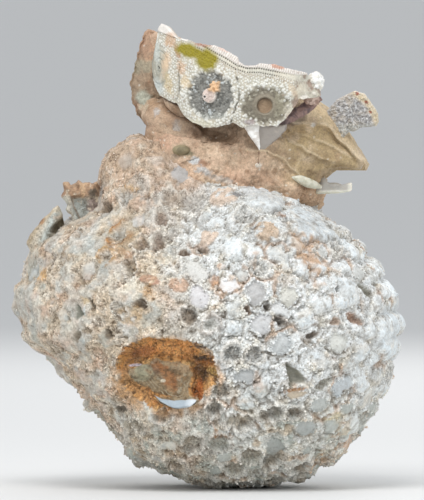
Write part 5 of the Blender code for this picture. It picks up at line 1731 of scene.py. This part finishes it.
def clam_paint(spots, out):
    """Olive brown with pale and dark lines along the layers, grey-green and tan patches, iron stains and dark
    specks; rust where it is buried, and the rind grey-blue, white at its right end."""
    x, _, z = spots.T
    layers, rind = clam_layers(spots)
    worn = ramp(layers, LAYERS_LEFT + 1, LAYERS_LEFT - 1)
    lines = worn * patches(spots, 2.4, 1, 48, -0.3, 0.5)
    stain = np.maximum(spot(spots, -14.4, 37.2, 2.8, 1.4, -25, 0.4, 0.5, 21),
                       spot(spots, -11.6, 34.0, 1.8, 3.0, 35, 0.4, 0.5, 22))
    colour = washed(
        plain(spots, 146, 126, 96),
        (0.8 * patches(spots, 2.2, 4, 42, 0.0, 0.25), (112, 88, 58)),
        (0.7 * patches(spots, 1.8, 4, 43, 0.08, 0.3), (176, 168, 146)),
        (lines * ramp(np.sin(2 * math.pi * layers), 0.1, 0.9) * 0.45, (198, 190, 166)),
        (lines * ramp(layers - np.floor(layers), 0.3, 0.05) * 0.6, (116, 96, 68)),
        (0.8 * spot(spots, -20.6, 36.2, 3.2, 2.4, 0, 0.4, 0.4, 20), (160, 158, 134)),
        (0.6 * spot(spots, -20.6, 34.6, 2.4, 1.0, -10, 0.5, 0.4, 44), (128, 124, 96)),
        (0.6 * spot(spots, -9.0, 38.4, 4.2, 2.6, 0, 0.4, 0.5, 23), (178, 150, 116)),
        (0.85 * stain, (154, 100, 56)),
        (0.7 * spot(spots, -15.6, 36.6, 1.0, 1.6, 20, 0.4, 0.5, 45), (124, 96, 74)),
        (0.5 * patches(spots, 1.8, 3, 24, 0.15, 0.5) * (1 - worn), (178, 132, 88)),
        (0.9 * spot(spots, -13.8, 33.6, 0.7, 0.5, 0, 0.4, 0.4, 46), (238, 228, 204)),
        (0.7 * patches(spots, 3.4, 3, 47, 0.0, 0.3) * ramp(z, 33.5, 37), (186, 158, 124)))
    colour = washed(
        colour * (1 + 0.42 * rough_noise(spots, 0.8, 2, 49))[:, None],
        (0.6 * patches(spots, 0.8, 1, 53, 0.35, 0.6) * patches(spots, 3, 1, 54, -0.2, 0.3), (92, 72, 48)))
    colour = colour + clam_buried(spots)[:, None] * (rust_colours(spots) - colour)
    return washed(
        colour,
        (0.9 * spot(spots, -22.0, 38.2, 1.9, 0.4, 5, 0.2), (206, 200, 214)),
        (rind, (166, 179, 188)),
        (rind * ramp(x, -8, -5), (220, 227, 232)))


flake("clam_layers", "clam_shell", CLAM, (-13, 33), clam_level, 1.6, clam_relief, clam_paint, weathered, 60,
      260, 0.2, lambda points: np.maximum(clam_layers(points)[1], 0.3 * (1 - clam_buried(points))))

# ----------------------------------------------------------
# Wedge under the urchin. A torn corner of shell: a smooth grey three-sided face, and along its left edge a
# white rib that curves down to a point and goes on as a thin crack filled with crystals. Lengths in mm.

WEDGE = (
    (12.6, 109), (15, 109.4), (19.6, 109.2), (23.4, 109.4), (22.8, 107.4), (21, 105.4), (18.8, 103.6),
    (16.8, 102), (15.2, 100.8), (14.2, 103.4), (13.6, 106.4),
)


def wedge_paint(spots, out):
    """Grey, darker above and along its right edge, with paler clouds."""
    x, _, z = spots.T
    return washed(
        plain(spots, 172, 164, 156),
        (0.7 * ramp(z - 0.4 * x, 101.5, 103.5), (150, 140, 138)),
        (0.6 * ramp(out, 0.85, 0.97) * ramp(x, 16, 20), (112, 98, 92)),
        (0.5 * patches(spots, 2, 3, 26, 0.1, 0.6), (196, 186, 174)))


flake("wedge_face", "shell_wedge", WEDGE, (16.8, 106),
      lambda x, z: -16.4 + 0.3 * (109.4 - z) + 0.1 * (x - 13), 2.6,
      lambda spots, out: 0.12 * rough_noise(spots, 1.5, 3, 27), wedge_paint, glassy, 24, 110, 0.15)
rib("wedge_rib", ((12.6, -17.0, 110.2), (12.8, -17.4, 108.8), (13.1, -17.5, 107.2), (13.7, -17.4, 105.6),
                  (14.3, -17.2, 104.0), (14.8, -16.9, 102.6), (15.0, -16.6, 101.6)),
    ((2.6, 0.9), (2.4, 1.1), (1.75, 1.1), (1.3, 1.0), (0.8, 0.8), (0.4, 0.5), (0.1, 0.2)), "shell_wedge",
    ((250, 248, 244), (222, 216, 208)), shelly)
rib("wedge_crack", ((15.0, -16.5, 102.2), (14.9, -16.3, 100.6), (14.6, -15.9, 99.2), (14.6, -15.7, 97.8),
                    (14.3, -15.6, 96.8)),
    ((0.14, 0.3), (0.17, 0.3), (0.13, 0.3), (0.2, 0.3), (0.1, 0.2)), "shell_wedge",
    ((176, 146, 118), (120, 92, 72)), shelly, 12, 60, 0.2)
lump("crack_crystals", (14.3, -15.5, 97.2), (0.6, 0.5, 0.5), 0.3, 0.5, "shell_wedge",
     ((236, 232, 222), (206, 190, 168)), 8)
